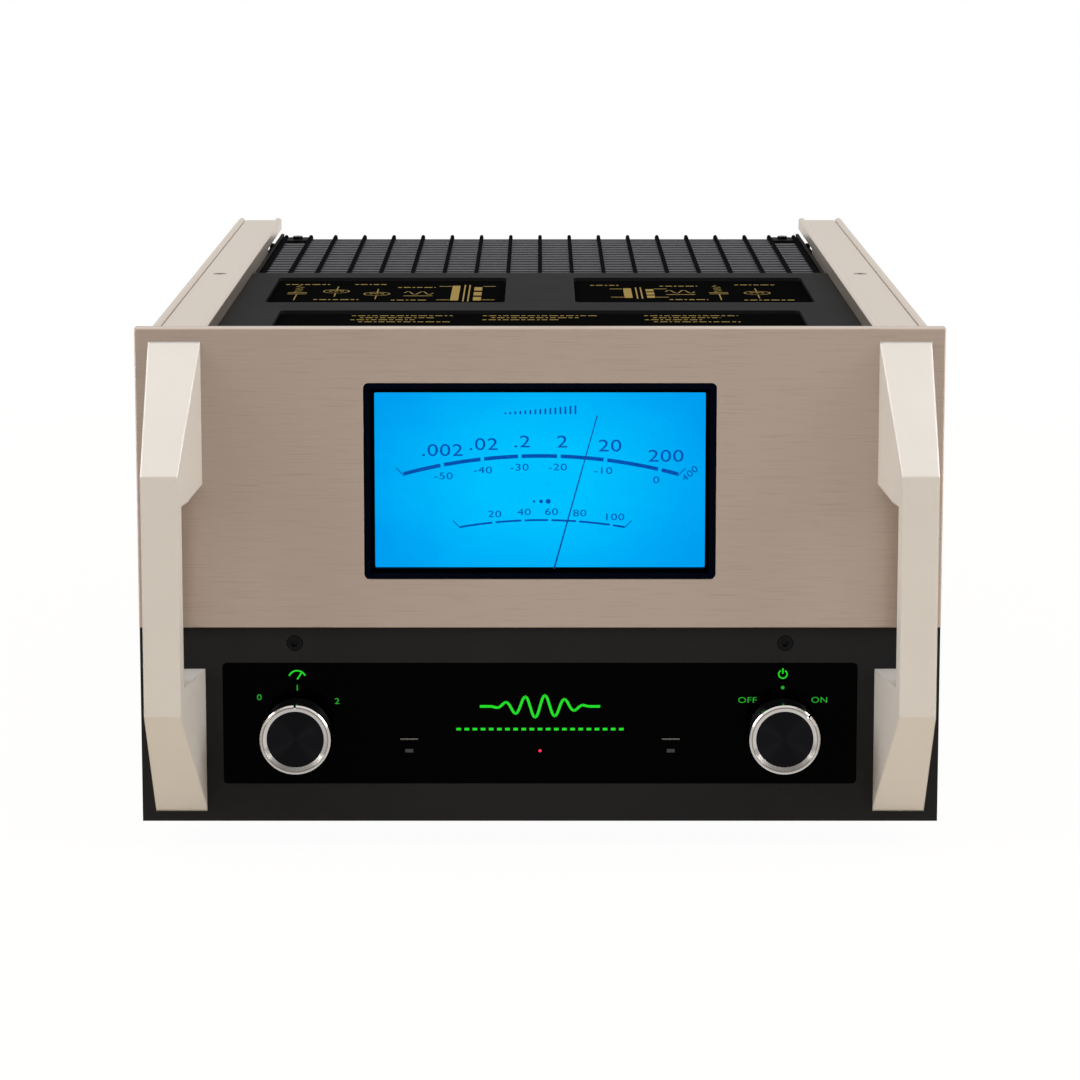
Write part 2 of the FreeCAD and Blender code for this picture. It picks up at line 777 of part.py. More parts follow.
def is_grip_edge(edge):
    """The long outer edge behind the grip, beside the finger opening."""
    middle = edge_middle(edge)
    upright = runs_along(edge, ALONG_Z) and edge.Length > size("grip_drop")
    return upright and near(middle.y, GRIP_REAR) and near(middle.x, RAIL_OUTER)


def make_handle_bolts():
    """Four cap screws from behind the frame, through the plates into the handles."""
    screws = []
    for name, side in (("left", "-"), ("right", "")):
        for end, height, reach in (("low", HANDLE_BOLTS[0], "plate_recess"), ("high", HANDLE_BOLTS[1], "0")):
            screws.append(socket_screw(
                f"handle_bolt_{name}_{end}", (f"{side}{HANDLE_MIDDLE}", FRAME_REAR, height), V(0, -1, 0),
                "handle_bolt_head", "handle_bolt", "handle_bolt",
                f"frame_sheet + panel_thickness + handle_bolt_grip - {reach}", "handle_bolt_head / 2"))
    return done(group("handle_bolts", screws), "handle_bolts")


# Meter

def make_meter_bezel():
    """The black frame in the meter opening, stepped for the glass and slotted for the needle."""
    front = f"({FACE} + bezel_recess)"
    body = new_body("meter_bezel")
    rim = front_sketch(body, "bezel_outline", front)
    rectangle(rim, ("-meter_width / 2 + bezel_gap", "meter_width / 2 - bezel_gap"),
              (f"{METER_LOW} + bezel_gap", f"{METER_HIGH} - bezel_gap"),
              "meter_round - bezel_gap")
    pad(body, rim, "bezel_depth", reverse=True)
    round_edges(body, "panel_round", lambda edge: near(edge_middle(edge).y, front))
    seat = front_sketch(body, "bezel_glass_seat", front)
    rectangle(seat, window_span("window_lip"), window_rise("window_lip"))
    pocket(body, seat, "window_glass + panel_round")
    sight = front_sketch(body, "bezel_sight", front)
    rectangle(sight, window_span("0"), window_rise("0"), "window_round")
    pocket(body, sight)
    slot = front_sketch(body, "bezel_needle_slot", DIAL_FACE)
    rectangle(slot, ("-cavity_width / 2", "cavity_width / 2"),
              (METER_LOW, f"{WINDOW_LOW} + window_round"))
    pocket(body, slot, f"{DIAL_FACE} - {FACE} - cavity_wall - fit_gap", reverse=True)
    return done(body, "meter_bezel")


def window_span(margin):
    """The visible dial's left and right edge, moved out by a margin."""
    return (f"-{WINDOW_HALF} - ({margin})", f"{WINDOW_HALF} + ({margin})")


def window_rise(margin):
    """The visible dial's lower and upper edge, moved out by a margin."""
    return (f"{WINDOW_LOW} - ({margin})", f"{WINDOW_HIGH} + ({margin})")


def make_meter_panes():
    """The front glass, the printed dial and the light guide, one behind the other."""
    glass_front = f"({FACE} + bezel_recess + panel_round)"
    inset = "window_lip - seat_gap"
    done(box("meter_window", window_span(inset), (glass_front, f"{glass_front} + window_glass"),
             window_rise(inset)), "meter_window")
    done(box("meter_dial", window_span("dial_margin"), (DIAL_FACE, GUIDE_FACE),
             window_rise("dial_margin")), "meter_dial")
    done(box("meter_light_guide", window_span("dial_margin"), (GUIDE_FACE, f"{GUIDE_FACE} + light_guide"),
             window_rise("dial_margin")), "meter_light_guide")


def make_meter_lamp_housing():
    """The white shell behind the dial, open to the front, with its flange on the frame."""
    body = new_body("meter_lamp_housing")
    front = FRAME_REAR
    shell = front_sketch(body, "housing_outline", front)
    reach = "dial_margin + lamp_house_wall + fit_gap"
    rectangle(shell, window_span(reach), window_rise(reach), "meter_round")
    pad(body, shell, "lamp_house_depth", reverse=True)
    room = front_sketch(body, "housing_room", front)
    rectangle(room, window_span("dial_margin + fit_gap"), window_rise("dial_margin + fit_gap"),
              "window_round")
    pocket(body, room, "lamp_house_depth - lamp_house_wall")
    flange = front_sketch(body, "housing_flange", front)
    rectangle(flange, window_span(f"{reach} + can_foot"), window_rise("dial_margin + fit_gap"))
    rectangle(flange, window_span("dial_margin + fit_gap"), window_rise("dial_margin"))
    pad(body, flange, "lamp_house_wall", reverse=True)
    return done(body, "meter_lamp_housing")


def make_meter_needle():
    """A cranked needle: hub behind the plate, a step through the cavity, and a blade over the dial."""
    body = new_body("meter_needle")
    hub_front = f"({PANEL_REAR} + hub_gap)"
    blade_front = f"({FACE} + needle_depth)"
    hub = front_sketch(body, "needle_hub", "0")
    circle(hub, "0", "0", "hub_diameter / 2")
    pad(body, hub, "hub_length", reverse=True)
    arm = front_sketch(body, "needle_arm", "0")
    rectangle(arm, ("-needle_root / 2", "needle_root / 2"), ("-needle_tail", "needle_crank"))
    pad(body, arm, "needle_root", reverse=True)
    crank = front_sketch(body, "needle_crank_step", "0")
    rectangle(crank, ("-needle_root / 2", "needle_root / 2"), ("needle_crank - needle_root", "needle_crank"))
    pad(body, crank, f"{hub_front} - {blade_front}")
    blade = front_sketch(body, "needle_blade", f"{blade_front} - {hub_front}")
    outline(blade, [
        ("-needle_root / 2", "needle_crank - needle_root"),
        ("needle_root / 2", "needle_crank - needle_root"),
        ("needle_tip / 2", NEEDLE_LENGTH),
        ("-needle_tip / 2", NEEDLE_LENGTH),
    ])
    pad(body, blade, "needle_thickness", reverse=True)
    bore = front_sketch(body, "needle_bore", "-hub_gap")
    circle(bore, "0", "0", "pivot_pin / 2 + pin_gap")
    pocket(body, bore)
    body.Placement.Rotation = FreeCAD.Rotation(V(0, 1, 0), size("needle_angle"))
    bind(body, "Placement.Rotation.Angle", "needle_angle")
    place(body, "0", hub_front, PIVOT)
    return done(body, "meter_needle")


def make_meter_movement():
    """The coil housing behind the frame, on two pillars, with the needle's pivot pin."""
    start = f"({PANEL_REAR} + hub_gap + hub_length + fit_gap)"
    flange = f"({FRAME_REAR} + hub_gap + hub_length)"
    drum = cylinder("movement_drum", ALONG_Y, ("0", flange, PIVOT), "movement_length",
                    "movement_diameter / 2")
    pin = cylinder("movement_pin", ALONG_Y, ("0", f"{PANEL_REAR} + fit_gap", PIVOT),
                   f"{flange} - {PANEL_REAR}", "pivot_pin / 2")
    boss = cylinder("movement_boss", ALONG_Y, ("0", start, PIVOT), f"{flange} - {start} + fit_gap",
                    "hub_diameter / 4")
    strap = box("movement_strap", ("-movement_diameter", "movement_diameter"),
                (flange, f"{flange} + frame_sheet"), (f"{PIVOT} - hub_diameter", f"{PIVOT} + hub_diameter"))
    pillars = [
        cylinder(f"movement_pillar_{name}", ALONG_Y,
                 (f"{side}(movement_diameter - hub_diameter / 2)", FRAME_REAR, PIVOT),
                 f"{flange} - {FRAME_REAR} + fit_gap", "hub_diameter / 3")
        for name, side in (("left", "-"), ("right", ""))
    ]
    return done(fuse("meter_movement", [drum, pin, boss, strap] + pillars), "meter_movement")


# Knobs

def make_knob(name, side, angle):
    """A knob body with a dished face, a bright ring round its front, and a shaft."""
    head = "(knob_reach - ring_depth)"
    spot = (f"{side}{KNOB_SPREAD}", PLATE_FACE, KNOB_MIDDLE)

    body = new_body(f"{name}_knob_body")
    profile = sketch_on(body, f"{name}_knob_profile", "XY_Plane")
    outline(profile, [
        ("shaft_diameter / 2", "-knob_gap"),
        ("shaft_diameter / 2", "-knob_gap - shaft_grip"),
        ("0", "-knob_gap - shaft_grip"),
        ("0", "-knob_reach + face_recess"),
        ("face_diameter / 2", "-knob_reach + face_recess"),
        ("face_diameter / 2", f"-{head}"),
        ("knob_diameter / 2", f"-{head}"),
        ("knob_diameter / 2", "-knob_gap - knob_chamfer"),
        ("knob_diameter / 2 - knob_chamfer", "-knob_gap"),
    ])
    revolve(body, profile)
    index = sketch_on(body, f"{name}_knob_index", "XY_Plane", "knob_diameter / 2 - index_depth")
    rectangle(index, ("-mark_width / 2", "mark_width / 2"), (f"-{head} - index_depth", "0"))
    pocket(body, index, "knob_diameter", reverse=True)
    turn_to(body, spot, angle)
    done(body, f"{name}_knob_body")

    ring = new_body(f"{name}_knob_ring")
    band = sketch_on(ring, f"{name}_ring_profile", "XY_Plane")
    outline(band, [
        ("face_diameter / 2", f"-{head}"),
        ("face_diameter / 2", "-knob_reach + face_recess"),
        ("ring_diameter / 2 - ring_lip - ring_groove", "-knob_reach + knob_chamfer / 2"),
        ("ring_diameter / 2 - ring_lip", "-knob_reach + knob_chamfer / 2 + ring_groove"),
        ("ring_diameter / 2 - ring_lip + ring_groove", "-knob_reach"),
        ("ring_diameter / 2 - knob_chamfer", "-knob_reach"),
        ("ring_diameter / 2", "-knob_reach + knob_chamfer"),
        ("ring_diameter / 2", f"-{head}"),
    ])
    revolve(ring, band)
    notch = sketch_on(ring, f"{name}_ring_notch", "XY_Plane", "ring_diameter / 2 - ring_lip")
    rectangle(notch, ("-mark_width / 2", "mark_width / 2"),
              ("-knob_reach - index_depth", f"-{head} + index_depth"))
    pocket(ring, notch, "ring_diameter", reverse=True)
    turn_to(ring, spot, angle)
    done(ring, f"{name}_knob_ring")

    length = "shaft_grip + knob_gap + panel_thickness - plate_recess + frame_sheet + switch_depth / 2"
    shaft = cylinder(f"{name}_knob_shaft", ALONG_Y,
                     (spot[0], f"{PLATE_FACE} - knob_gap - shaft_grip", KNOB_MIDDLE), length,
                     "shaft_diameter / 2")
    done(shaft, f"{name}_knob_shaft")
    make_switch(name, side)


def turn_to(body, spot, angle):
    """Place a knob piece on its axis with its index turned clockwise by an angle."""
    body.Placement.Rotation = FreeCAD.Rotation(V(0, 1, 0), size(angle) or 1)
    bind(body, "Placement.Rotation.Angle", angle)
    place(body, *spot)


def make_switch(name, side):
    """The rotary switch behind the frame, with its threaded bushing and nut."""
    middle = f"{side}{KNOB_SPREAD}"
    half = "switch_width / 2"
    front = f"({PANEL_REAR} - nut_thickness - knob_gap)"
    case = box(f"{name}_switch_case", (f"{middle} - {half}", f"{middle} + {half}"),
               (FRAME_REAR, f"{FRAME_REAR} + switch_depth"),
               (f"{KNOB_MIDDLE} - {half}", f"{KNOB_MIDDLE} + {half}"))
    bushing = cylinder(f"{name}_switch_bushing", ALONG_Y, (middle, front, KNOB_MIDDLE),
                       f"{FRAME_REAR} - {front} + fit_gap", "bushing_diameter / 2")
    nut = hexagon(f"{name}_switch_nut", ALONG_Y, (middle, f"{PANEL_REAR} - nut_thickness", KNOB_MIDDLE),
                  "nut_thickness", "nut_width")
    bore = cylinder(f"{name}_switch_bore", ALONG_Y, (middle, f"{front} - fit_gap", KNOB_MIDDLE),
                    f"{FRAME_REAR} - {front} + switch_depth / 2 + 2 * fit_gap",
                    "shaft_diameter / 2 + shaft_gap")
    terminals = []
    for index in range(3):
        spot = f"({middle} + {index - 1} * switch_width / 4)"
        terminals.append(box(f"{name}_switch_terminal_{index}",
                             (f"{spot} - index_width", f"{spot} + index_width"),
                             (f"{FRAME_REAR} + switch_depth", f"{FRAME_REAR} + switch_depth * 1.4"),
                             (f"{KNOB_MIDDLE} - index_width", f"{KNOB_MIDDLE} + index_width")))
    whole = fuse(f"{name}_switch_solid", [case, bushing, nut] + terminals)
    return done(cut(f"{name}_switch", whole, [bore]), f"{name}_switch")


# Side rails

def make_side_rails():
    """A channel with a rounded bead along both top edges, open underneath for the side wall."""
    body = new_body("side_rail_right")
    flat = f"({RAIL_TOP} - bead_height)"
    low = f"({RAIL_TOP} - rail_height)"
    bead = "((bead_width * bead_width / 4 + bead_height * bead_height) / (2 * bead_height))"
    section = front_sketch(body, "rail_section", PANEL_REAR)
    outline(section, [
        (RAIL_INNER, low),
        (f"{RAIL_INNER} + rail_wall", low),
        (f"{RAIL_INNER} + rail_wall", f"{flat} - rail_wall"),
        (f"{RAIL_OUTER} - rail_wall", f"{flat} - rail_wall"),
        (f"{RAIL_OUTER} - rail_wall", low),
        (RAIL_OUTER, low),
        (RAIL_OUTER, flat),
        (f"{RAIL_OUTER} - bead_width / 2", RAIL_TOP, bead, 1),
        (f"{RAIL_OUTER} - bead_width", flat, bead, 1),
        (f"{RAIL_OUTER} - bead_width", f"{flat} - rail_groove"),
        (f"{RAIL_OUTER} - bead_width - rail_groove", f"{flat} - rail_groove"),
        (f"{RAIL_OUTER} - bead_width - rail_groove", flat),
        (f"{RAIL_INNER} + bead_width", flat),
        (f"{RAIL_INNER} + bead_width / 2", RAIL_TOP, bead, 1),
        (RAIL_INNER, flat, bead, 1),
    ])
    pad(body, section, "rail_length", reverse=True)
    slot = sketch_on(body, "rail_slot", "YZ_Plane", f"{RAIL_INNER} - rail_wall")
    rectangle(slot, (f"{RAIL_END} - rail_slot_length", f"{RAIL_END} + rail_wall"),
              (f"{RAIL_TOP} - rail_slot_drop - rail_slot_height", f"{RAIL_TOP} - rail_slot_drop"))
    pocket(body, slot, "rail_wall * 2.5", reverse=True)
    hole = sketch_on(body, "rail_screw_hole", "XY_Plane", flat)
    circle(hole, RAIL_MIDDLE, f"{FACE} + rail_screw_place", "rail_screw_diameter / 2 + screw_gap")
    pocket(body, hole, "rail_wall")
    round_edges(body, "(rail_screw_head - rail_screw_diameter) / 2", is_rail_hole_edge, "Chamfer")
    done(body, "side_rail_right")
    return done(mirrored("side_rail_left", body), "side_rail_left")


def is_rail_hole_edge(edge):
    """The screw hole's rim on top of the rail."""
    return isinstance(edge.Curve, Part.Circle) and near(edge_middle(edge).z, f"{RAIL_TOP} - bead_height") \
        and edge.Curve.Radius < size("rail_screw_head")


def make_rail_screws():
    """One countersunk screw through each rail into the side wall's flange."""
    flat = f"({RAIL_TOP} - bead_height)"
    sink = "(rail_screw_head - rail_screw_diameter) / 2"
    screws = []
    for name, side in (("left", "-"), ("right", "")):
        spot = (f"{side}{RAIL_MIDDLE}", f"{FACE} + rail_screw_place")
        head = doc.addObject("Part::Cone", f"rail_screw_head_{name}")
        bind(head, "Radius1", "rail_screw_diameter / 2")
        bind(head, "Radius2", f"rail_screw_head / 2")
        bind(head, "Height", sink)
        place(head, *spot, f"{flat} - {sink} - fit_gap")
        shank = cylinder(f"rail_screw_shank_{name}", V(0, 0, -1), (*spot, f"{flat} - {sink}"),
                         "rail_wall + 2 * sheet", "rail_screw_diameter / 2")
        socket = hexagon(f"rail_screw_socket_{name}", V(0, 0, -1), (*spot, flat), "rail_screw_head / 5",
                         "rail_screw_diameter * 0.6")
        screws.append(cut(f"rail_screw_{name}", fuse(f"rail_screw_blank_{name}", [head, shank]), [socket]))
    return done(group("rail_screws", screws), "rail_screws")


# Top cover

def make_top_cover():
    """The satin lid over the transformer bay, with three pockets for printed glasses."""
    body = new_body("top_cover")
    lid = sketch_on(body, "cover_outline", "XY_Plane", COVER_TOP)
    rectangle(lid, (f"-{RAIL_INNER} + screw_gap", f"{RAIL_INNER} - screw_gap"),
              (f"{PANEL_REAR} + screw_gap", COVER_REAR))
    pad(body, lid, "cover_thickness", reverse=True)
    round_edges(body, "cover_edge_round", lambda edge: near(edge_middle(edge).z, COVER_TOP)
                and near(edge_middle(edge).y, COVER_REAR))
    wells = sketch_on(body, "cover_pockets", "XY_Plane", COVER_TOP)
    for x, y in label_places():
        rectangle(wells, x, y, "pocket_round")
    pocket(body, wells, "pocket_depth")
    return done(body, "top_cover")


def label_places():
    """The X and Y limits of the two rear pockets and the long front one."""
    rear_end = f"({COVER_REAR} - rear_pocket_margin)"
    rear = (f"{rear_end} - rear_pocket_length", rear_end)
    front = (f"{FACE} + front_pocket_place", f"{rear_end} - rear_pocket_length - cover_rib")
    outer, long_outer = f"({RAIL_INNER} - rear_pocket_border)", f"({RAIL_INNER} - front_pocket_border)"
    return [
        ((f"-{outer}", "-rear_pocket_inner"), rear),
        (("rear_pocket_inner", outer), rear),
        ((f"-{long_outer}", long_outer), front),
    ]


def make_label_glasses():
    """A printed glass pane on the floor of each pocket."""
    panes = []
    for name, (x, y) in zip(("rear_left", "rear_right", "front"), label_places()):
        body = new_body(f"label_pane_{name}")
        pane = sketch_on(body, f"label_{name}_outline", "XY_Plane", f"{COVER_TOP} - pocket_depth")
        rectangle(pane, (f"{x[0]} + seat_gap", f"{x[1]} - seat_gap"),
                  (f"{y[0]} + seat_gap", f"{y[1]} - seat_gap"), "pocket_round")
        pad(body, pane, "label_thickness")
        panes.append(body)
    return done(group("label_glasses", panes), "label_glasses")


# Cage

ROD_COUNT_MIDDLE = 7
ROD_COUNT_EDGE = 2


def rod_places():
    """X of every lengthwise rod: evenly spaced in the middle, closer at both edges."""
    inner = [count * size(ROD_PITCH) for count in range(-ROD_COUNT_MIDDLE, ROD_COUNT_MIDDLE + 1)]
    edge = [inner[-1] + count * size("rod_edge_pitch") for count in range(1, ROD_COUNT_EDGE + 1)]
    return [-x for x in reversed(edge)] + inner + edge


def make_cage_rods():
    """Round rods that run back over the tubes, bend down and end at the deck."""
    radius, bend = size("rod_diameter / 2"), size("rod_bend")
    front, rear = size(f"{BULKHEAD} + rod_start"), size(CAGE_REAR) - radius
    top, low = size(ROD_MIDDLE), size(f"{DECK_TOP} + cage_bar + fit_gap")
    corner = V(0, rear - bend, top - bend)
    middle = corner + V(0, math.sin(math.pi / 4), math.cos(math.pi / 4)) * bend
    path = Part.Wire([
        Part.LineSegment(V(0, front, top), V(0, rear - bend, top)).toShape(),
        Part.Arc(V(0, rear - bend, top), middle, V(0, rear, top - bend)).toShape(),
        Part.LineSegment(V(0, rear, top - bend), V(0, rear, low)).toShape(),
    ])
    section = Part.Wire(Part.makeCircle(radius, V(0, front, top), V(0, 1, 0)))
    rod = path.makePipeShell([section], True, False)
    item = doc.addObject("Part::Feature", "cage_rods")
    item.Shape = Part.makeCompound([rod.translated(V(x, 0, 0)) for x in rod_places()])
    return done(item, "cage_rods")


def top_wire_rows():
    """Y of every cross wire on top of the cage."""
    first, pitch = size(f"{BULKHEAD} + wire_start"), size("wire_pitch")
    last = size(f"{CAGE_REAR} - rod_diameter - wire_diameter / 2 - weld_gap - rod_bend")
    return [first + count * pitch for count in range(int((last - first) // pitch) + 1)]


def make_cage_cross_wires():
    """Thinner wires welded under the rods, evenly spaced over the top and down the rear."""
    reach = rod_places()[-1] + size("rod_diameter / 2")
    radius, pitch = size("wire_diameter / 2"), size("wire_pitch")
    top, rear = size(WIRE_MIDDLE), size(f"{CAGE_REAR} - rod_diameter - wire_diameter / 2 - weld_gap")
    start, low = top - size("rod_bend"), size(f"{DECK_TOP} + 2 * cage_bar + wire_diameter")
    places = [(row, top) for row in top_wire_rows()]
    places += [(rear, start - count * pitch) for count in range(int((start - low) // pitch) + 1)]
    wires = [Part.makeCylinder(radius, 2 * reach, V(-reach, y, z), V(1, 0, 0)) for y, z in places]
    item = doc.addObject("Part::Feature", "cage_cross_wires")
    item.Shape = Part.makeCompound(wires)
    return done(item, "cage_cross_wires")


def make_cage_frame():
    """Flat bars that hold the mesh: front angle, side strips with hooks, rear foot and corner tabs."""
    strip_outer = f"({RAIL_INNER} - screw_gap)"
    strip_inner = f"({strip_outer} - cage_strip_thickness)"
    under = f"({WIRE_MIDDLE} - wire_diameter / 2 - weld_gap)"
    strip_top = f"({ROD_MIDDLE} + rod_diameter / 2)"
    front = f"({BULKHEAD} + frame_sheet + fit_gap)"
    rear = CAGE_REAR
    slot_start = f"({RAIL_END} - rail_slot_length)"
    bars = [
        box("cage_front_bar", (f"-{strip_outer}", strip_outer), (front, f"{front} + cage_strip_height"),
            (f"{under} - cage_bar", under)),
        box("cage_front_leg", (f"-{strip_outer}", strip_outer), (front, f"{front} + cage_bar"),
            (f"{under} - 2 * cage_strip_height", under)),
        box("cage_foot_bar", (f"-{strip_outer}", strip_outer), (f"{rear} - cage_strip_height", rear),
            (f"{DECK_TOP} + fit_gap", f"{DECK_TOP} + cage_bar + fit_gap / 2")),
    ]
    for name, side in (("left", "-"), ("right", "")):
        inner, outer = f"{side}{strip_inner}", f"{side}{strip_outer}"
        x = (outer, inner) if side else (inner, outer)
        bars.append(box(f"cage_strip_{name}", x, (front, rear),
                        (f"{strip_top} - cage_strip_height", strip_top)))
        bars.append(box(f"cage_post_{name}", x, (f"{rear} - cage_strip_height", rear),
                        (f"{DECK_TOP} + fit_gap", f"{strip_top} - cage_strip_height")))
        hook_outer = f"{side}({RAIL_INNER} + rail_wall - screw_gap)"
        hook = (hook_outer, outer) if side else (outer, hook_outer)
        slot_low = f"({RAIL_TOP} - rail_slot_drop - rail_slot_height + screw_gap)"
        hook_end = f"{slot_start} + 2.5 * tab_length"
        bars.append(box(f"cage_hook_{name}", hook, (f"{slot_start} + screw_gap", hook_end),
                        (slot_low, f"{slot_low} + cage_bar")))
        bars.append(box(f"cage_hook_rise_{name}", hook, (f"{hook_end} - 2 * cage_bar", hook_end),
                        (slot_low, f"{slot_low} + 2.5 * cage_bar")))
    return done(group("cage_frame", [fuse("cage_bars", bars)] + make_cage_tabs()), "cage_frame")


def make_cage_tabs():
    """A drilled corner plate between the two outer rods at each side, and the screw that holds it."""
    inner = f"({RAIL_INNER} - rod_margin - rod_edge_pitch + rod_diameter / 2 + screw_gap)"
    outer = f"({RAIL_INNER} - rod_margin - rod_diameter / 2 - screw_gap)"
    seat = f"({WIRE_MIDDLE} + wire_diameter / 2 + weld_gap)"
    middle = top_wire_rows()[-1] - size("wire_pitch / 2")
    tabs, screws = [], []
    for name, side in (("left", "-"), ("right", "")):
        x = (f"-{outer}", f"-{inner}") if side else (inner, outer)
        spot = (f"{side}({inner} + {outer}) / 2", f"{middle}")
        plate = box(f"cage_tab_plate_{name}", x,
                    (f"{middle} - tab_length / 2", f"{middle} + tab_length / 2"),
                    (seat, f"{seat} + cage_bar / 2"))
        hole = cylinder(f"cage_tab_hole_{name}", ALONG_Z, (*spot, f"{seat} - fit_gap"), "cage_bar",
                        "tab_screw / 2 + screw_gap")
        tabs.append(cut(f"cage_tab_{name}", plate, [hole]))
        screws.append(socket_screw(f"cage_screw_{name}", (*spot, f"{seat} + cage_bar / 2"), V(0, 0, -1),
                                   "tab_screw * 1.7", "tab_screw / 2", "tab_screw", "3 * cage_bar",
                                   "tab_screw / 2"))
    done(group("cage_screws", screws), "cage_screws")
    return tabs


# Chassis

def make_chassis():
    """One folded sheet: floor, two side walls with vents, and a flange under each rail."""
    body = new_body("chassis")
    top = f"({RAIL_TOP} - bead_height - rail_wall - seat_gap)"
    tuck = f"({RAIL_INNER} + rail_wall + seat_gap)"
    section = front_sketch(body, "chassis_section", PANEL_REAR)
    outline(section, [
        (f"-{WALL_OUTER}", BOTTOM), (WALL_OUTER, BOTTOM), (WALL_OUTER, top), (tuck, top),
        (tuck, f"{top} - sheet"), (WALL_INNER, f"{top} - sheet"), (WALL_INNER, FLOOR_TOP),
        (f"-{WALL_INNER}", FLOOR_TOP), (f"-{WALL_INNER}", f"{top} - sheet"), (f"-{tuck}", f"{top} - sheet"),
        (f"-{tuck}", top), (f"-{WALL_OUTER}", top),
    ])
    pad(body, section, f"{REAR_FACE} - {PANEL_REAR}", reverse=True)
    vent = sketch_on(body, "side_vent", "YZ_Plane")
    start = f"({BULKHEAD} + 2 * flange)"
    rectangle(vent, (start, f"{start} + vent_width"),
              (f"{DECK_TOP} + flange", f"{DECK_TOP} + flange + vent_length"), "vent_width / 2 - fit_gap")
    cutout = pocket(body, vent, both=True)
    pattern = body.newObject("PartDesign::LinearPattern", "side_vent_row")
    pattern.Originals = [cutout]
    pattern.Direction = (vent, ["H_Axis"])
    bind(pattern, "Length", "vent_pitch * (vent_count - 1)")
    bind(pattern, "Occurrences", "vent_count")
    body.Tip = pattern
    holes = sketch_on(body, "chassis_foot_holes", "XY_Plane", FLOOR_TOP)
    for spot in foot_places():
        circle(holes, f"{spot.x}", f"{spot.y}", "foot_screw / 2 + screw_gap")
    pocket(body, holes, "2 * sheet")
    rail_holes = sketch_on(body, "chassis_rail_holes", "XY_Plane", top)
    for side in ("", "-"):
        circle(rail_holes, f"{side}{RAIL_MIDDLE}", f"{FACE} + rail_screw_place",
               "rail_screw_diameter / 2 + seat_gap")
    pocket(body, rail_holes, "2 * sheet")
    return done(body, "chassis")


def make_front_frame():
    """The stiff plate behind the faceplates, with a flange that carries the cover's front edge."""
    body = new_body("front_frame")
    face = front_sketch(body, "frame_outline", PANEL_REAR)
    low = f"({FLOOR_TOP} + fit_gap)"
    neck = f"({RAIL_TOP} - rail_height - fit_gap)"
    outline(face, [
        (f"-{PLATE_HALF}", low), (PLATE_HALF, low), (PLATE_HALF, neck), (f"{RAIL_INNER} - screw_gap", neck),
        (f"{RAIL_INNER} - screw_gap", COVER_UNDER), (f"-{RAIL_INNER} + screw_gap", COVER_UNDER),
        (f"-{RAIL_INNER} + screw_gap", neck), (f"-{PLATE_HALF}", neck),
    ])
    pad(body, face, "frame_sheet", reverse=True)
    lip = front_sketch(body, "frame_flange", FRAME_REAR)
    rectangle(lip, (f"-{RAIL_INNER} + screw_gap", f"{RAIL_INNER} - screw_gap"),
              (f"{COVER_UNDER} - frame_sheet", COVER_UNDER))
    pad(body, lip, "flange", reverse=True)
    light = front_sketch(body, "frame_meter_opening", PANEL_REAR)
    rectangle(light, window_span("dial_margin + fit_gap"),
              (f"{PIVOT} - needle_crank", f"{WINDOW_HIGH} + dial_margin + fit_gap"))
    pocket(body, light)
    holes = front_sketch(body, "frame_holes", PANEL_REAR)
    for side in ("", "-"):
        circle(holes, f"{side}{KNOB_SPREAD}", KNOB_MIDDLE, "bushing_diameter / 2 + fit_gap")
        circle(holes, f"{side}{PLATE_SCREW_SPREAD}", PLATE_SCREW, "plate_screw_diameter / 2 + seat_gap")
        for height in HANDLE_BOLTS:
            circle(holes, f"{side}{HANDLE_MIDDLE}", height, "handle_bolt / 2 + screw_gap")
    pocket(body, holes)
    return done(body, "front_frame")


def make_bulkhead():
    """The wall between the transformer bay and the tube bay, with a flange under the cover."""
    body = new_body("bulkhead")
    face = front_sketch(body, "bulkhead_outline", BULKHEAD)
    low = f"({FLOOR_TOP} + fit_gap)"
    neck = f"({RAIL_TOP} - rail_height - fit_gap)"
    outline(face, [
        (f"-{PLATE_HALF}", low), (PLATE_HALF, low), (PLATE_HALF, neck), (f"{RAIL_INNER} - screw_gap", neck),
        (f"{RAIL_INNER} - screw_gap", COVER_UNDER), (f"-{RAIL_INNER} + screw_gap", COVER_UNDER),
        (f"-{RAIL_INNER} + screw_gap", neck), (f"-{PLATE_HALF}", neck),
    ])
    pad(body, face, "frame_sheet", reverse=True)
    lip = front_sketch(body, "bulkhead_flange", BULKHEAD)
    rectangle(lip, (f"-{RAIL_INNER} + screw_gap", f"{RAIL_INNER} - screw_gap"),
              (f"{COVER_UNDER} - frame_sheet", COVER_UNDER))
    pad(body, lip, "flange")
    return done(body, "bulkhead")


def tube_places():
    """Middle points of the output tubes and the signal tubes, in rows across the deck."""
    columns = [(count - 1.5) * size("tube_pitch") for count in range(4)]
    rows = [size(f"{BULKHEAD} + tube_first_row + {count} * tube_row_pitch") for count in range(2)]
    output = [V(x, y, 0) for y in rows for x in columns]
    signal = [V(x, size(f"{BULKHEAD} + signal_row"), 0) for x in columns]
    return output, signal


def make_tube_deck():
    """The plate that the tubes stand on, drilled for their sockets."""
    body = new_body("tube_deck")
    plate = sketch_on(body, "deck_outline", "XY_Plane", DECK_TOP)
    rectangle(plate, (f"-{PLATE_HALF}", PLATE_HALF), (f"{BULKHEAD} + frame_sheet + fit_gap", REAR_FACE))
    pad(body, plate, "frame_sheet", reverse=True)
    holes = sketch_on(body, "deck_socket_holes", "XY_Plane", DECK_TOP)
    output, signal = tube_places()
    for spots, diameter in ((output, "output_socket_diameter"), (signal, "signal_socket_diameter")):
        for spot in spots:
            circle(holes, f"{spot.x}", f"{spot.y}", f"{diameter} * 0.4 + fit_gap")
    pocket(body, holes)
    return done(body, "tube_deck")


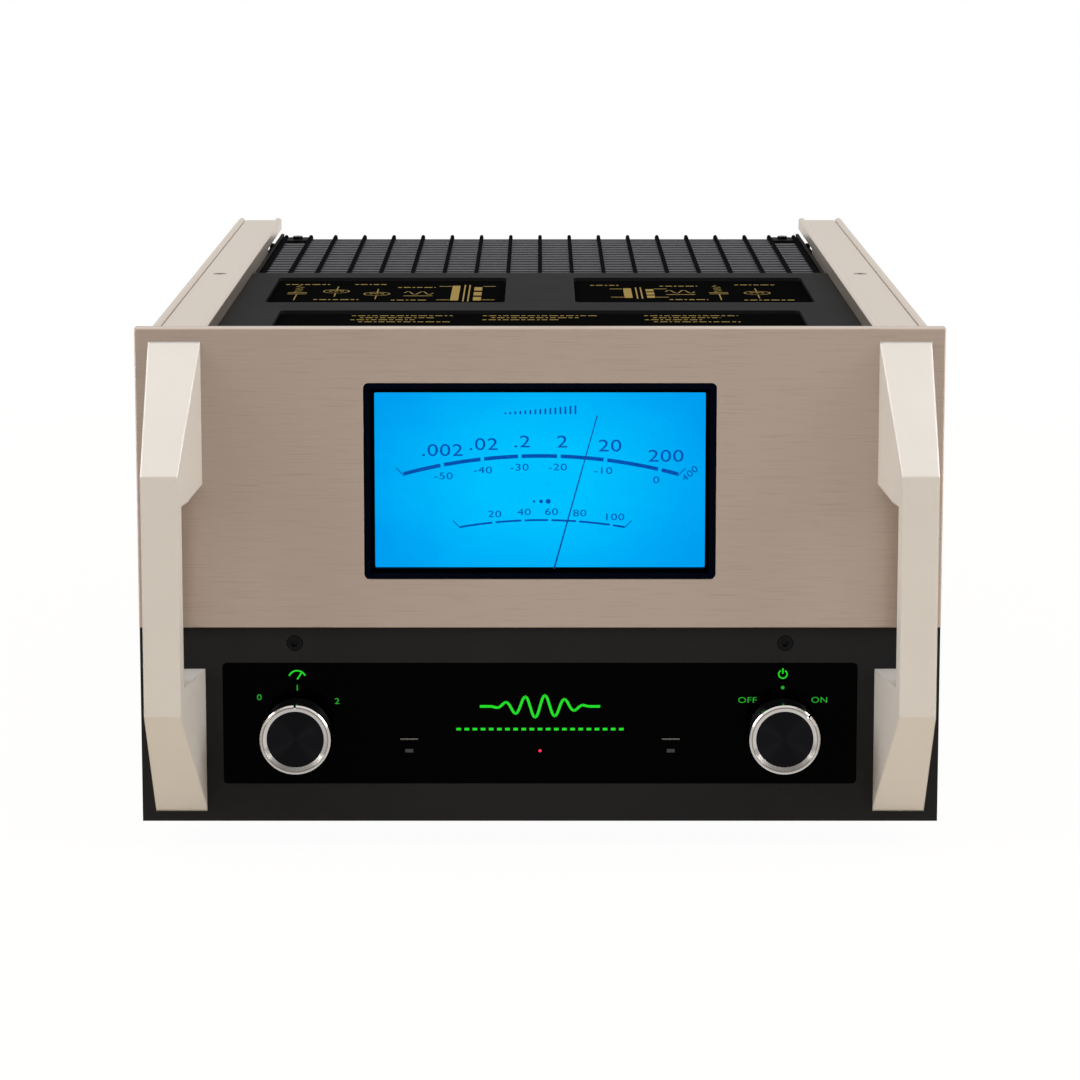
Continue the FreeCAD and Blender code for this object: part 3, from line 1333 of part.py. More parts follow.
def make_rear_panel():
    """The connector plate that closes the chassis below the tube deck."""
    body = new_body("rear_panel")
    face = front_sketch(body, "rear_outline", REAR_INSIDE)
    rectangle(face, (f"-{PLATE_HALF}", PLATE_HALF),
              (f"{FLOOR_TOP} + fit_gap", f"{DECK_TOP} - frame_sheet - fit_gap"))
    pad(body, face, "frame_sheet", reverse=True)
    holes = front_sketch(body, "rear_holes", REAR_INSIDE)
    rectangle(holes, inlet_span("fit_gap"), inlet_rise("fit_gap"))
    circle(holes, "-fuse_place", CONNECTOR, "fuse_diameter / 2 + fit_gap")
    for count in (0, 1):
        circle(holes, f"-jack_place + {count} * jack_pitch", CONNECTOR, "jack_pitch / 6 + fit_gap")
    circle(holes, "-phono_place", CONNECTOR, "phono_barrel / 2 + fit_gap")
    circle(holes, "xlr_place", CONNECTOR, "xlr_diameter / 2 + fit_gap")
    for count in range(POST_COUNT):
        circle(holes, f"post_first + {count} * post_pitch", CONNECTOR, "post_collar / 3 + fit_gap")
    pocket(body, holes)
    return done(body, "rear_panel")


POST_COUNT = 4


def inlet_span(room):
    """The mains inlet's left and right edge with some room."""
    return (f"-inlet_place - inlet_width / 2 - {room}", f"-inlet_place + inlet_width / 2 + {room}")


def inlet_rise(room):
    """The mains inlet's lower and upper edge with some room."""
    return (f"{CONNECTOR} - inlet_height / 2 - {room}", f"{CONNECTOR} + inlet_height / 2 + {room}")


# Rear connectors

def make_power_inlet():
    """A mains inlet: flanged housing with a deep socket and three blades."""
    floor = f"({REAR_FACE} - inlet_cavity)"
    flange = box("inlet_flange", inlet_span("inlet_height / 2"), (REAR_FACE, f"{REAR_FACE} + frame_sheet"),
                 inlet_rise("inlet_width / 10"))
    case = box("inlet_case", inlet_span("0"), (f"{floor} - frame_sheet", REAR_FACE), inlet_rise("0"))
    room = box("inlet_room", inlet_span("-frame_sheet"), (floor, f"{REAR_FACE} + inlet_height"),
               inlet_rise("-frame_sheet"))
    shell = cut("inlet_shell", fuse("inlet_blank", [flange, case]), [room])
    blades = []
    for name, across, rise in (("left", "- inlet_width / 4", "0"), ("right", "+ inlet_width / 4", "0"),
                               ("earth", "", "inlet_height / 6")):
        middle, height = f"-inlet_place {across}", f"{CONNECTOR} - inlet_height / 12 + {rise}"
        blades.append(box(f"inlet_blade_{name}", (f"{middle} - sheet / 2", f"{middle} + sheet / 2"),
                          (f"{floor} - fit_gap", f"{REAR_FACE} - inlet_cavity / 4"),
                          (f"{height} - frame_sheet", f"{height} + frame_sheet")))
    return done(fuse("power_inlet", [shell] + blades), "power_inlet")


def make_fuse_holder():
    """A round fuse holder through the rear panel and its quarter-turn cap."""
    spot = ("-fuse_place", REAR_FACE, CONNECTOR)
    collar = cylinder("fuse_collar", ALONG_Y, spot, "frame_sheet", "fuse_cap_diameter / 2 + frame_sheet")
    barrel = cylinder("fuse_barrel", V(0, -1, 0), spot, "fuse_cap_length * 3", "fuse_diameter / 2")
    nut = hexagon("fuse_nut", V(0, -1, 0), ("-fuse_place", REAR_INSIDE, CONNECTOR), "nut_thickness",
                  "fuse_diameter * 1.4")
    bore = cylinder("fuse_bore", V(0, -1, 0), ("-fuse_place", f"{REAR_FACE} + 2 * frame_sheet", CONNECTOR),
                    "fuse_cap_length * 2.4", "fuse_diameter / 2 - sheet")
    done(cut("fuse_holder", fuse("fuse_blank", [collar, barrel, nut]), [bore]), "fuse_holder")
    seat = f"({REAR_FACE} + frame_sheet + fit_gap)"
    head = cylinder("fuse_cap_head", ALONG_Y, ("-fuse_place", seat, CONNECTOR), "fuse_cap_length",
                    "fuse_cap_diameter / 2")
    stem = cylinder("fuse_cap_stem", V(0, -1, 0), ("-fuse_place", f"{seat} + fit_gap", CONNECTOR),
                    "fuse_cap_length * 1.5", "fuse_diameter / 2 - sheet - post_stud_gap")
    slot = box("fuse_cap_slot", ("-fuse_place - fuse_cap_diameter", "-fuse_place + fuse_cap_diameter"),
               (f"{seat} + fuse_cap_length - frame_sheet", f"{seat} + fuse_cap_length + frame_sheet"),
               (f"{CONNECTOR} - index_width", f"{CONNECTOR} + index_width"))
    return done(cut("fuse_cap", fuse("fuse_cap_blank", [head, stem]), [slot]), "fuse_cap")


def make_signal_inputs():
    """The balanced socket, the phono socket and the two small control jacks."""
    xlr = ("xlr_place", REAR_FACE, CONNECTOR)
    outside = f"{REAR_FACE} + 2 * frame_sheet"
    half = "(xlr_diameter / 2 + frame_sheet)"
    flange = box("xlr_flange", (f"xlr_place - {half}", f"xlr_place + {half}"),
                 (REAR_FACE, f"{REAR_FACE} + frame_sheet"),
                 (f"{CONNECTOR} - xlr_diameter * 0.65", f"{CONNECTOR} + xlr_diameter * 0.65"))
    shell = cylinder("xlr_shell", V(0, -1, 0), xlr, "xlr_diameter", "xlr_diameter / 2")
    well = cylinder("xlr_well_outer", V(0, -1, 0), ("xlr_place", outside, CONNECTOR), "xlr_diameter / 2",
                    "xlr_diameter * 0.4")
    core = cylinder("xlr_well_core", V(0, -1, 0), ("xlr_place", outside, CONNECTOR), "xlr_diameter",
                    "xlr_diameter * 0.33")
    groove = cut("xlr_well", well, [core])
    pins = []
    for index in range(3):
        turn = math.radians(90 + 120 * index)
        pins.append(cylinder(f"xlr_contact_{index}", V(0, -1, 0), (
            f"xlr_place + xlr_diameter * {0.17 * math.cos(turn):.4f}", outside,
            f"{CONNECTOR} + xlr_diameter * {0.17 * math.sin(turn):.4f}"), "xlr_diameter / 2", "sheet"))
    body = fuse("xlr_blank", [flange, shell])
    done(cut("balanced_input", body, [groove] + pins), "balanced_input")

    phono = ("-phono_place", REAR_FACE, CONNECTOR)
    barrel = cylinder("phono_barrel_outer", ALONG_Y, phono, "phono_barrel", "phono_barrel / 2")
    washer = cylinder("phono_washer", ALONG_Y, phono, "sheet", "phono_barrel * 0.75")
    inside = cylinder("phono_inside", V(0, -1, 0), phono, "phono_barrel * 2", "phono_barrel / 2")
    centre = cylinder("phono_hole", V(0, -1, 0),
                      ("-phono_place", f"{REAR_FACE} + phono_barrel + sheet", CONNECTOR),
                      "phono_barrel * 1.5", "sheet")
    done(cut("unbalanced_input", fuse("phono_blank", [barrel, washer, inside]), [centre]), "unbalanced_input")

    jacks = []
    for count in (0, 1):
        middle = f"-jack_place + {count} * jack_pitch"
        ring = hexagon(f"jack_nut_{count}", ALONG_Y, (middle, REAR_FACE, CONNECTOR), "frame_sheet",
                       "jack_pitch / 2")
        inner = cylinder(f"jack_barrel_{count}", V(0, -1, 0),
                         (middle, f"{REAR_FACE} + frame_sheet + sheet", CONNECTOR), "jack_pitch",
                         "jack_pitch / 6")
        bore = cylinder(f"jack_bore_{count}", V(0, -1, 0), (middle, outside, CONNECTOR), "jack_pitch",
                        "jack_pitch / 10")
        jacks.append(cut(f"jack_{count}", fuse(f"jack_blank_{count}", [ring, inner]), [bore]))
    return done(group("trigger_jacks", jacks), "trigger_jacks")


def make_speaker_posts():
    """Four binding posts on the rear panel, each with a fluted cap that turns on its stud."""
    posts = []
    tip = f"({RAIL_END} + post_overhang)"
    seat = f"({REAR_FACE} + post_collar_length)"
    for count in range(POST_COUNT):
        middle = f"post_first + {count} * post_pitch"
        root = f"({REAR_INSIDE} - 3 * post_collar_length)"
        collar = cylinder(f"post_collar_{count}", ALONG_Y, (middle, REAR_FACE, CONNECTOR),
                          "post_collar_length", "post_collar / 2")
        sleeve = cylinder(f"post_sleeve_{count}", V(0, -1, 0), (middle, f"{REAR_FACE} + fit_gap", CONNECTOR),
                          "frame_sheet + fit_gap + post_collar_length / 2", "post_collar / 3")
        nut = hexagon(f"post_nut_{count}", V(0, -1, 0), (middle, REAR_INSIDE, CONNECTOR), "nut_thickness",
                      "nut_width * 1.2")
        stud = cylinder(f"post_stud_{count}", ALONG_Y, (middle, root, CONNECTOR), f"{tip} - {root}",
                        "post_stud / 2")
        drill = cylinder(f"post_banana_{count}", V(0, -1, 0), (middle, f"{tip} + fit_gap", CONNECTOR),
                         "post_cap_length", "post_stud / 3")
        posts.append(cut(f"post_{count}", fuse(f"post_blank_{count}", [collar, sleeve, nut, stud]), [drill]))
        make_post_cap(count, middle, seat)
    return done(group("speaker_posts", posts), "speaker_posts")


def make_post_cap(count, middle, seat):
    """A round cap with grip flutes round its rim, bored for the stud."""
    body = new_body(f"speaker_post_cap_{count + 1}")
    rim = front_sketch(body, f"post_cap_outline_{count}", "0")
    circle(rim, "0", "0", "post_cap / 2")
    pad(body, rim, "post_cap_length", reverse=True)
    flute = front_sketch(body, f"post_cap_flute_{count}", "0")
    circle(flute, "0", "post_cap / 2 + index_width / 2", "index_width + fit_gap")
    groove = pocket(body, flute, "post_cap_length - sheet")
    pattern = body.newObject("PartDesign::PolarPattern", f"post_cap_flutes_{count}")
    pattern.Originals = [groove]
    pattern.Axis = (flute, ["N_Axis"])
    pattern.Angle = 360
    pattern.Occurrences = 12
    body.Tip = pattern
    bore = front_sketch(body, f"post_cap_bore_{count}", "0")
    circle(bore, "0", "0", "post_stud / 2 + post_stud_gap")
    pocket(body, bore)
    place(body, middle, f"{seat} + screw_gap", CONNECTOR)
    return done(body, f"speaker_post_cap_{count + 1}")


# Tubes

def make_tubes():
    """Eight output tubes and four signal tubes in their sockets on the deck."""
    output, signal = tube_places()
    socket_top = f"({DECK_TOP} + socket_height)"
    make_sockets(output, signal)

    base = new_body("output_tube_base")
    ring = sketch_on(base, "tube_base_profile", "XZ_Plane")
    outline(ring, [
        ("0", socket_top), ("output_base_diameter / 2", socket_top),
        ("output_base_diameter / 2", f"{socket_top} + output_base_height - sheet"),
        ("output_base_diameter / 2 - sheet", f"{socket_top} + output_base_height"),
        ("0", f"{socket_top} + output_base_height"),
    ])
    revolve(base, ring)
    done(copies("output_tube_bases", base, output), "output_tube_bases")

    glass_low = f"({socket_top} + output_base_height)"
    done(copies("output_tube_glasses", glass_envelope("output_tube", glass_low, "output_glass_diameter",
                                                      "output_glass_height", "output_base_diameter * 0.9"),
                output), "output_tube_glasses")
    anode = box("output_anode", ("-output_glass_diameter * 0.28", "output_glass_diameter * 0.28"),
                ("-output_glass_diameter * 0.2", "output_glass_diameter * 0.2"),
                (f"{glass_low} + glass_wall + fit_gap", f"{glass_low} + output_glass_height * 0.68"))

    done(copies("signal_tubes", glass_envelope("signal_tube", socket_top, "signal_glass_diameter",
                                               "signal_glass_height", "signal_glass_diameter * 0.9"),
                signal), "signal_tubes")
    plate = cylinder("signal_anode", ALONG_Z, ("0", "0", f"{socket_top} + glass_wall + fit_gap"),
                     "signal_glass_height * 0.62", "signal_glass_diameter * 0.3")
    return done(scattered("tube_anodes", ((anode, output), (plate, signal))), "tube_anodes")


def glass_envelope(name, low, diameter, height, foot):
    """A thin glass bulb of revolution: narrow foot, straight wall and domed top."""
    body = new_body(f"{name}_envelope")
    wall = "glass_wall"
    profile = sketch_on(body, f"{name}_profile", "XZ_Plane")
    dome = f"({diameter} / 2)"
    inner = f"({diameter} / 2 - {wall})"
    shoulder = f"({low} + ({diameter}) * 0.22)"
    neck = f"({low} + ({height}) - {dome})"
    outline(profile, [
        ("0", low), (f"({foot}) / 2", low), (f"({diameter}) / 2", shoulder), (f"({diameter}) / 2", neck),
        ("0", f"{low} + ({height})", dome, 1),
        ("0", f"{low} + ({height}) - {wall}"),
        (inner, neck, inner, -1),
        (inner, shoulder), (f"({foot}) / 2 - {wall}", f"{low} + {wall}"), ("0", f"{low} + {wall}"),
    ])
    revolve(body, profile)
    return body


def make_sockets(output, signal):
    """A ceramic socket under every tube, through the deck."""
    pieces = []
    for name, diameter in (("output", "output_socket_diameter"), ("signal", "signal_socket_diameter")):
        flange = cylinder(f"{name}_socket_flange", ALONG_Z, ("0", "0", DECK_TOP), "socket_height",
                          f"{diameter} / 2")
        barrel = cylinder(f"{name}_socket_barrel", V(0, 0, -1), ("0", "0", f"{DECK_TOP} + fit_gap"),
                          "socket_depth", f"{diameter} * 0.4")
        pieces.append(fuse(f"{name}_socket", [flange, barrel]))
    return done(scattered("tube_sockets", zip(pieces, (output, signal))), "tube_sockets")


# Transformers, supply and boards

def make_transformer(name, side):
    """A potted transformer can with a rounded top and a foot flange on the chassis floor."""
    body = new_body(name)
    middle = f"{side}({RAIL_OUTER} - can_inset)"
    front = f"({FRAME_REAR} + can_front)"
    low = f"({FLOOR_TOP} + fit_gap)"
    can = sketch_on(body, f"{name}_outline", "XY_Plane", low)
    rectangle(can, (f"{middle} - can_width / 2", f"{middle} + can_width / 2"),
              (front, f"{front} + can_length"), "can_round")
    pad(body, can, "can_height")
    round_edges(body, "can_round / 2", lambda edge: near(edge_middle(edge).z, f"{low} + can_height"))
    foot = sketch_on(body, f"{name}_foot", "XY_Plane", low)
    rectangle(foot, (f"{middle} - can_width / 2 + can_round", f"{middle} + can_width / 2 - can_round"),
              (f"{front} - can_foot", f"{front} + can_length + can_foot"))
    pad(body, foot, "can_foot_thickness")
    return done(body, name)


def make_filter_capacitors():
    """A row of supply capacitors standing on the floor behind the transformers."""
    can = cylinder("capacitor", ALONG_Z, ("0", f"{BULKHEAD} - capacitor_place", f"{FLOOR_TOP} + fit_gap"),
                   "capacitor_height", "capacitor_diameter / 2")
    moves = [V((count - 2) * size("capacitor_pitch"), 0, 0) for count in range(5)]
    return done(copies("filter_capacitors", can, moves), "filter_capacitors")


def make_driver_board():
    """The drive circuit board on pillars over the chassis floor, under the tube deck."""
    front, rear = f"({BULKHEAD} + 2 * flange)", f"({REAR_INSIDE} - 3 * flange)"
    level = f"({FLOOR_TOP} + flange)"
    board = box("driver_board_plate", ("-tube_pitch * 2", "tube_pitch * 2"), (front, rear),
                (level, f"{level} + board_thickness"))
    stand = f"{FLOOR_TOP} + fit_gap"
    pillars = [
        cylinder(f"driver_pillar_{x + 1}_{row}", ALONG_Z, (f"{x} * tube_pitch * 1.9", spot, stand), "flange",
                 "tab_screw")
        for x in (-1, 1) for row, spot in enumerate((f"{front} + flange", f"{rear} - flange"))
    ]
    parts = [
        cylinder(f"driver_capacitor_{count}", ALONG_Z,
                 (f"({count} - 2.5) * tube_pitch / 2", f"{front} + tube_pitch",
                  f"{level} + board_thickness / 2"),
                 "flange * 2", "tab_screw * 2")
        for count in range(6)
    ]
    return done(fuse("driver_board", [board] + pillars + parts), "driver_board")


# Feet

def foot_places():
    """Middle points of the four feet."""
    across = size(f"{RAIL_OUTER} - foot_inset")
    along = (size(f"{FACE} + foot_front"), size(f"{REAR_FACE} - foot_rear"))
    return [V(side * across, spot, 0) for side in (-1, 1) for spot in along]


def make_feet():
    """Four rubber feet with a sunk screw each, on the chassis floor."""
    body = new_body("foot")
    profile = sketch_on(body, "foot_profile", "XZ_Plane")
    outline(profile, [
        ("foot_screw / 2 + seat_gap", "foot_height"), ("foot_screw / 2 + seat_gap", "foot_height / 2"),
        ("foot_screw * 1.2", "foot_height / 2"), ("foot_screw * 1.2", "0"),
        ("foot_diameter / 2 - sheet", "0"), ("foot_diameter / 2", "sheet"),
        ("foot_diameter / 2 - sheet", "foot_height"),
    ])
    revolve(body, profile)
    moves = foot_places()
    done(copies("feet", body, moves), "feet")
    screw = socket_screw("foot_screw_one", ("0", "0", "foot_height / 2"), V(0, 0, 1), "foot_screw * 1.8",
                         "foot_screw * 0.6", "foot_screw", "foot_height / 2 + 3 * sheet", "foot_screw * 0.6")
    return done(copies("foot_screws", screw, moves), "foot_screws")


def check_and_export():
    """Stop on any failed object or bad solid, then write every sub-part's file."""
    doc.recompute()
    for item in doc.Objects:
        if "Invalid" in item.State or "Error" in item.State:
            raise RuntimeError(f"{item.Name} failed: {item.State}")
    os.makedirs("parts", exist_ok=True)
    for item in finished:
        shape = item.Shape
        if shape.isNull() or not shape.isValid() or not shape.Solids:
            raise RuntimeError(f"{item.Label} has no valid solid")
    for item in finished:
        item.Shape.exportStep(f"parts/{item.Label}.step")
    print(len(finished), "sub-parts,", sum(len(item.Shape.Solids) for item in finished), "solids")


fill_sheet()
make_front_panel()
make_control_panel()
make_control_glass()
make_control_panel_screws()
make_indicator_lamps()
make_display_board()
make_handles()
make_handle_bolts()
make_meter_bezel()
make_meter_panes()
make_meter_lamp_housing()
make_meter_needle()
make_meter_movement()
make_knob("meter", "-", "0")
make_knob("power", "", "power_index_angle")
make_side_rails()
make_rail_screws()
make_top_cover()
make_label_glasses()
make_cage_rods()
make_cage_cross_wires()
make_cage_frame()
make_chassis()
make_front_frame()
make_bulkhead()
make_tube_deck()
make_rear_panel()
make_power_inlet()
make_fuse_holder()
make_signal_inputs()
make_speaker_posts()
make_tubes()
make_transformer("power_transformer", "-")
make_transformer("output_transformer", "")
make_filter_capacitors()
make_driver_board()
make_feet()
check_and_export()
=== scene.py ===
"""Finishes, prints, studio and camera for a tube power amplifier whose solids come from CAD."""

import logging
import math
from collections.abc import Sequence
from dataclasses import dataclass
from enum import Enum

import bmesh
import bpy
from bpy.types import Material, Mesh, Node, NodeSocket, NodeTree
from mathutils import Matrix, Vector


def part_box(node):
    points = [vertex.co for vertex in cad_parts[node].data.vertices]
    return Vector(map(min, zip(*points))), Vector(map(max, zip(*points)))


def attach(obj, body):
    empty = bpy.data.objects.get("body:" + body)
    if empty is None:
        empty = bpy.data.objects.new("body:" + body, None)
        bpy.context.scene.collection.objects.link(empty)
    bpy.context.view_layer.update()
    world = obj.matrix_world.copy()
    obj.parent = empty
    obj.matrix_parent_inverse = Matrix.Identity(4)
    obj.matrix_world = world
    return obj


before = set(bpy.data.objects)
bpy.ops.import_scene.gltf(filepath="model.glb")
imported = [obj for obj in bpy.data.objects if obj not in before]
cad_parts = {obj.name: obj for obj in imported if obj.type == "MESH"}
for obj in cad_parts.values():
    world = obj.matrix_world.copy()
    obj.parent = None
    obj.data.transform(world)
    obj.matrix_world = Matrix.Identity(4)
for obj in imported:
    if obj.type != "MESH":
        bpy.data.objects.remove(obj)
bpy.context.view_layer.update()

MM = 0.001
INK_LIFT = 0.05 * MM
LOG = logging.getLogger("amplifier")

# The Mix node's sockets by number, because their names repeat.
FACTOR, NUMBER_A, NUMBER_B, COLOUR_A, COLOUR_B, MIXED_COLOUR = 0, 2, 3, 6, 7, 2
# Raw noise hardly leaves this range.
NOISE_LOW, NOISE_HIGH = 0.3, 0.7
# The broad unevenness: its size in roots of the grain's size, and its share of the pattern.
BROAD_REACH, BROAD_SHARE = 60, 0.35
# How finely round strokes and dots are drawn: millimetres in a step, and sides of a dot.
ARC_STEP, DOT_SIDES = 1.2, 20
LETTER_SPACE = 1.06
FULL_TURN = 360

Point = tuple[float, float]
Place = tuple[float, float, float]
Colour = tuple[float, float, float, float]


def linear(code: str, gain: float = 1.0) -> Colour:
    """Turn an sRGB hex colour into a linear one.

    Args:
        code: The colour as "#RRGGBB".
        gain: How much lighter or darker the linear colour is made.

    Returns:
        Red, green, blue and an alpha of 1.
    """
    parts = [int(code[start:start + 2], 16) / 255 for start in (1, 3, 5)]
    plain = [part / 12.92 if part <= 0.04045 else ((part + 0.055) / 1.055) ** 2.4
             for part in parts]
    return (*[min(1.0, part * gain) for part in plain], 1.0)


def spread(count: int, pitch: float, middle: float = 0.0) -> list[float]:
    """Places along a row: a count of them, a pitch apart and centred on the middle."""
    return [middle + (index - (count - 1) / 2) * pitch for index in range(count)]


def add_node(tree: NodeTree, kind: str, settings: dict[str, object] | None = None,
             inputs: dict[str | int, object] | None = None) -> Node:
    """Add one shader node, set it up and wire it.

    Args:
        tree: The node tree that gets the node.
        kind: The shader node's type, such as "Bump".
        settings: Attributes of the node to set.
        inputs: Values or output sockets, by the input's name or number.

    Returns:
        The new node.
    """
    node = tree.nodes.new(f"ShaderNode{kind}")
    for name, value in (settings or {}).items():
        setattr(node, name, value)
    for name, value in (inputs or {}).items():
        if isinstance(value, NodeSocket):
            tree.links.new(value, node.inputs[name])
        else:
            node.inputs[name].default_value = value
    return node


def mottle(tree: NodeTree, size: Sequence[float], detail: float = 2.0) -> NodeSocket:
    """Make a cloudy pattern that lies still on the object.

    Args:
        tree: The material's node tree.
        size: Size of the pattern's features in millimetres along x, y and z.
        detail: Octaves of finer noise.

    Returns:
        The pattern as a factor from 0 to 1 that uses the whole range.
    """
    place = add_node(tree, "TexCoord").outputs["Object"]
    scale = [1 / (length * MM) for length in size]
    sized = add_node(tree, "Mapping", inputs={"Vector": place, "Scale": scale}).outputs[0]
    raw = add_node(tree, "TexNoise", inputs={"Vector": sized, "Scale": 1.0, "Detail": detail})
    return add_node(tree, "MapRange", inputs={
        "Value": raw.outputs[0], "From Min": NOISE_LOW, "From Max": NOISE_HIGH}).outputs[0]


@dataclass(frozen=True)
class Finish:
    """A surface with a fine grain and a broad, faint unevenness.

    Attributes:
        name: The real material and how its surface was made.
        colour: Its colour as sRGB hex.
        roughness: Mean roughness.
        metallic: 1 for bare or anodised metal.
        grain: Size of the finest marks in millimetres, one for every way or one each for x, y, z.
        tone: Share by which the grain lightens and darkens the colour.
        uneven: How far roughness strays from its mean.
        relief: Depth of the grain in millimetres.
        edge: Radius in millimetres of the worn highlight along edges, 0 for none.
        specular: Specular level of the shader.
    """

    name: str
    colour: str
    roughness: float
    metallic: float = 0.0
    grain: float | Place = 0.5
    tone: float = 0.05
    uneven: float = 0.05
    relief: float = 0.01
    edge: float = 0.0
    specular: float = 0.5

    def material(self) -> Material:
        """Give the finish's material, made on the first call.

        Returns:
            The material.
        """
        ready = bpy.data.materials.get(self.name)
        if ready:
            return ready
        made = bpy.data.materials.new(self.name)
        made.use_nodes = True
        shader = made.node_tree.nodes["Principled BSDF"]
        shader.inputs["Metallic"].default_value = self.metallic
        shader.inputs["Specular IOR Level"].default_value = self.specular
        self.dress(shader)
        return made

    def dress(self, shader: Node) -> None:
        """Wire the grain into colour, roughness and bump, the bump rounded at worn edges.

        Args:
            shader: The material's Principled shader.
        """
        tree = shader.id_data
        grain = self.grain if isinstance(self.grain, tuple) else (self.grain,) * 3
        fine = mottle(tree, grain, 3.0)
        broad = mottle(tree, [BROAD_REACH * size ** 0.5 for size in grain], 2.0)
        mixed = add_node(tree, "Mix", inputs={
            FACTOR: BROAD_SHARE, NUMBER_A: fine, NUMBER_B: broad}).outputs[0]
        tint = add_node(tree, "Mix", {"data_type": "RGBA"}, {
            FACTOR: mixed, COLOUR_A: linear(self.colour, 1 - self.tone),
            COLOUR_B: linear(self.colour, 1 + self.tone)}).outputs[MIXED_COLOUR]
        tree.links.new(tint, shader.inputs["Base Color"])
        rough = add_node(tree, "MapRange", inputs={"Value": mixed, "To Min": self.roughness - self.uneven,
            "To Max": self.roughness + self.uneven})
        tree.links.new(rough.outputs[0], shader.inputs["Roughness"])
        if self.relief:
            inputs = {"Height": fine, "Distance": self.relief * MM}
            if self.edge:
                inputs["Normal"] = add_node(tree, "Bevel", {"samples": 4},
                                            {"Radius": self.edge * MM}).outputs[0]
            bump = add_node(tree, "Bump", inputs=inputs)
            tree.links.new(bump.outputs[0], shader.inputs["Normal"])


@dataclass(frozen=True)
class DirectionalMetal(Finish):
    """Metal whose marks all run one way, so its highlight stretches across them.

    Attributes:
        anisotropy: Strength of the stretched highlight.
        axis: Axis round which the shader's tangent runs, "X", "Y" or "Z".
        turn: Turn from that tangent to the way the highlight stretches, 0.25 for a right angle.
    """

    metallic: float = 1.0
    anisotropy: float = 0.6
    axis: str = "Z"
    turn: float = 0.25

    def dress(self, shader: Node) -> None:
        """Add the direction of the marks to the grain.

        Args:
            shader: The material's Principled shader.
        """
        super().dress(shader)
        shader.inputs["Anisotropic"].default_value = self.anisotropy
        shader.inputs["Anisotropic Rotation"].default_value = self.turn
        tree = shader.id_data
        around = add_node(tree, "Tangent", {"direction_type": "RADIAL", "axis": self.axis})
        tree.links.new(around.outputs[0], shader.inputs["Tangent"])


@dataclass(frozen=True)
class BrushedPlate(DirectionalMetal):
    """A plate brushed along x, with stray marks that stand out from the even brushing.

    Attributes:
        stray: Length and height of a stray mark in millimetres.
        rarity: How high the noise rises before a mark shows.
        depth: Half the share by which the stray marks darken the colour.
    """

    stray: Point = (30.0, 0.6)
    rarity: float = 0.72
    depth: float = 0.05

    def dress(self, shader: Node) -> None:
        """Lay the stray marks over the even grain.

        Args:
            shader: The material's Principled shader.
        """
        super().dress(shader)
        tree = shader.id_data
        long, high = self.stray
        marks = mottle(tree, (long, long, high), 1.0)
        rare = add_node(tree, "MapRange", inputs={
            "Value": marks, "From Min": self.rarity, "From Max": 1.0})
        even = shader.inputs["Base Color"].links[0].from_socket
        tint = add_node(tree, "Mix", {"data_type": "RGBA"}, {FACTOR: rare.outputs[0], COLOUR_A: even,
            COLOUR_B: linear(self.colour, 1 - 2 * self.depth)}).outputs[MIXED_COLOUR]
        tree.links.new(tint, shader.inputs["Base Color"])


@dataclass(frozen=True)
class ClearGlass(Finish):
    """Clear glass or acrylic, spotless or with faint dust on its surface.

    Attributes:
        index: Index of refraction.
    """

    index: float = 1.5

    def dress(self, shader: Node) -> None:
        """Let light through the grained surface, or through a plain one where it has no tone.

        Args:
            shader: The material's Principled shader.
        """
        if self.tone:
            super().dress(shader)
        else:
            shader.inputs["Base Color"].default_value = linear(self.colour)
            shader.inputs["Roughness"].default_value = self.roughness
        shader.inputs["Transmission Weight"].default_value = 1.0
        shader.inputs["IOR"].default_value = self.index


@dataclass(frozen=True)
class LitPanel(Finish):
    """A printed translucent sheet lit evenly from behind, a little darker towards its edges.

    Attributes:
        edge_colour: Colour at the far edges.
        unlit: Colour of the sheet with no light behind it.
        middle: Middle of the panel in metres.
        reach: Half of its width and height in metres.
        fade: Where the darker edge starts and ends, in parts of the reach.
        cloud: Size of the diffuser's cloud in millimetres, and cloudiness how far it shifts the fade.
        strength: Strength of the light.
    """

    edge_colour: str = "#0090E8"
    unlit: str = "#000204"
    middle: Place = (0.0, 0.0, 0.0)
    reach: Point = (0.1, 0.05)
    fade: Point = (0.35, 1.1)
    cloud: Place = (35.0, 35.0, 20.0)
    cloudiness: float = 0.06
    strength: float = 1.0

    def dress(self, shader: Node) -> None:
        """Fade the light from the middle outwards, with the faint cloud of a diffuser.

        Args:
            shader: The material's Principled shader.
        """
        tree = shader.id_data
        place = add_node(tree, "TexCoord").outputs["Object"]
        centred = add_node(tree, "Mapping", {"vector_type": "TEXTURE"}, {
            "Vector": place, "Location": self.middle,
            "Scale": (self.reach[0], 1.0, self.reach[1])}).outputs[0]
        away = add_node(tree, "VectorMath", {"operation": "LENGTH"}, {0: centred}).outputs["Value"]
        cloud = add_node(tree, "MapRange", inputs={
            "Value": mottle(tree, self.cloud), "To Min": -self.cloudiness,
            "To Max": self.cloudiness}).outputs[0]
        summed = add_node(tree, "Math", {"operation": "ADD"}, {0: away, 1: cloud}).outputs[0]
        fade = add_node(tree, "MapRange", inputs={
            "Value": summed, "From Min": self.fade[0], "From Max": self.fade[1]})
        light = add_node(tree, "Mix", {"data_type": "RGBA"}, {
            FACTOR: fade.outputs[0], COLOUR_A: linear(self.colour),
            COLOUR_B: linear(self.edge_colour)}).outputs[MIXED_COLOUR]
        tree.links.new(light, shader.inputs["Emission Color"])
        shader.inputs["Emission Strength"].default_value = self.strength
        shader.inputs["Base Color"].default_value = linear(self.unlit)
        shader.inputs["Roughness"].default_value = self.roughness


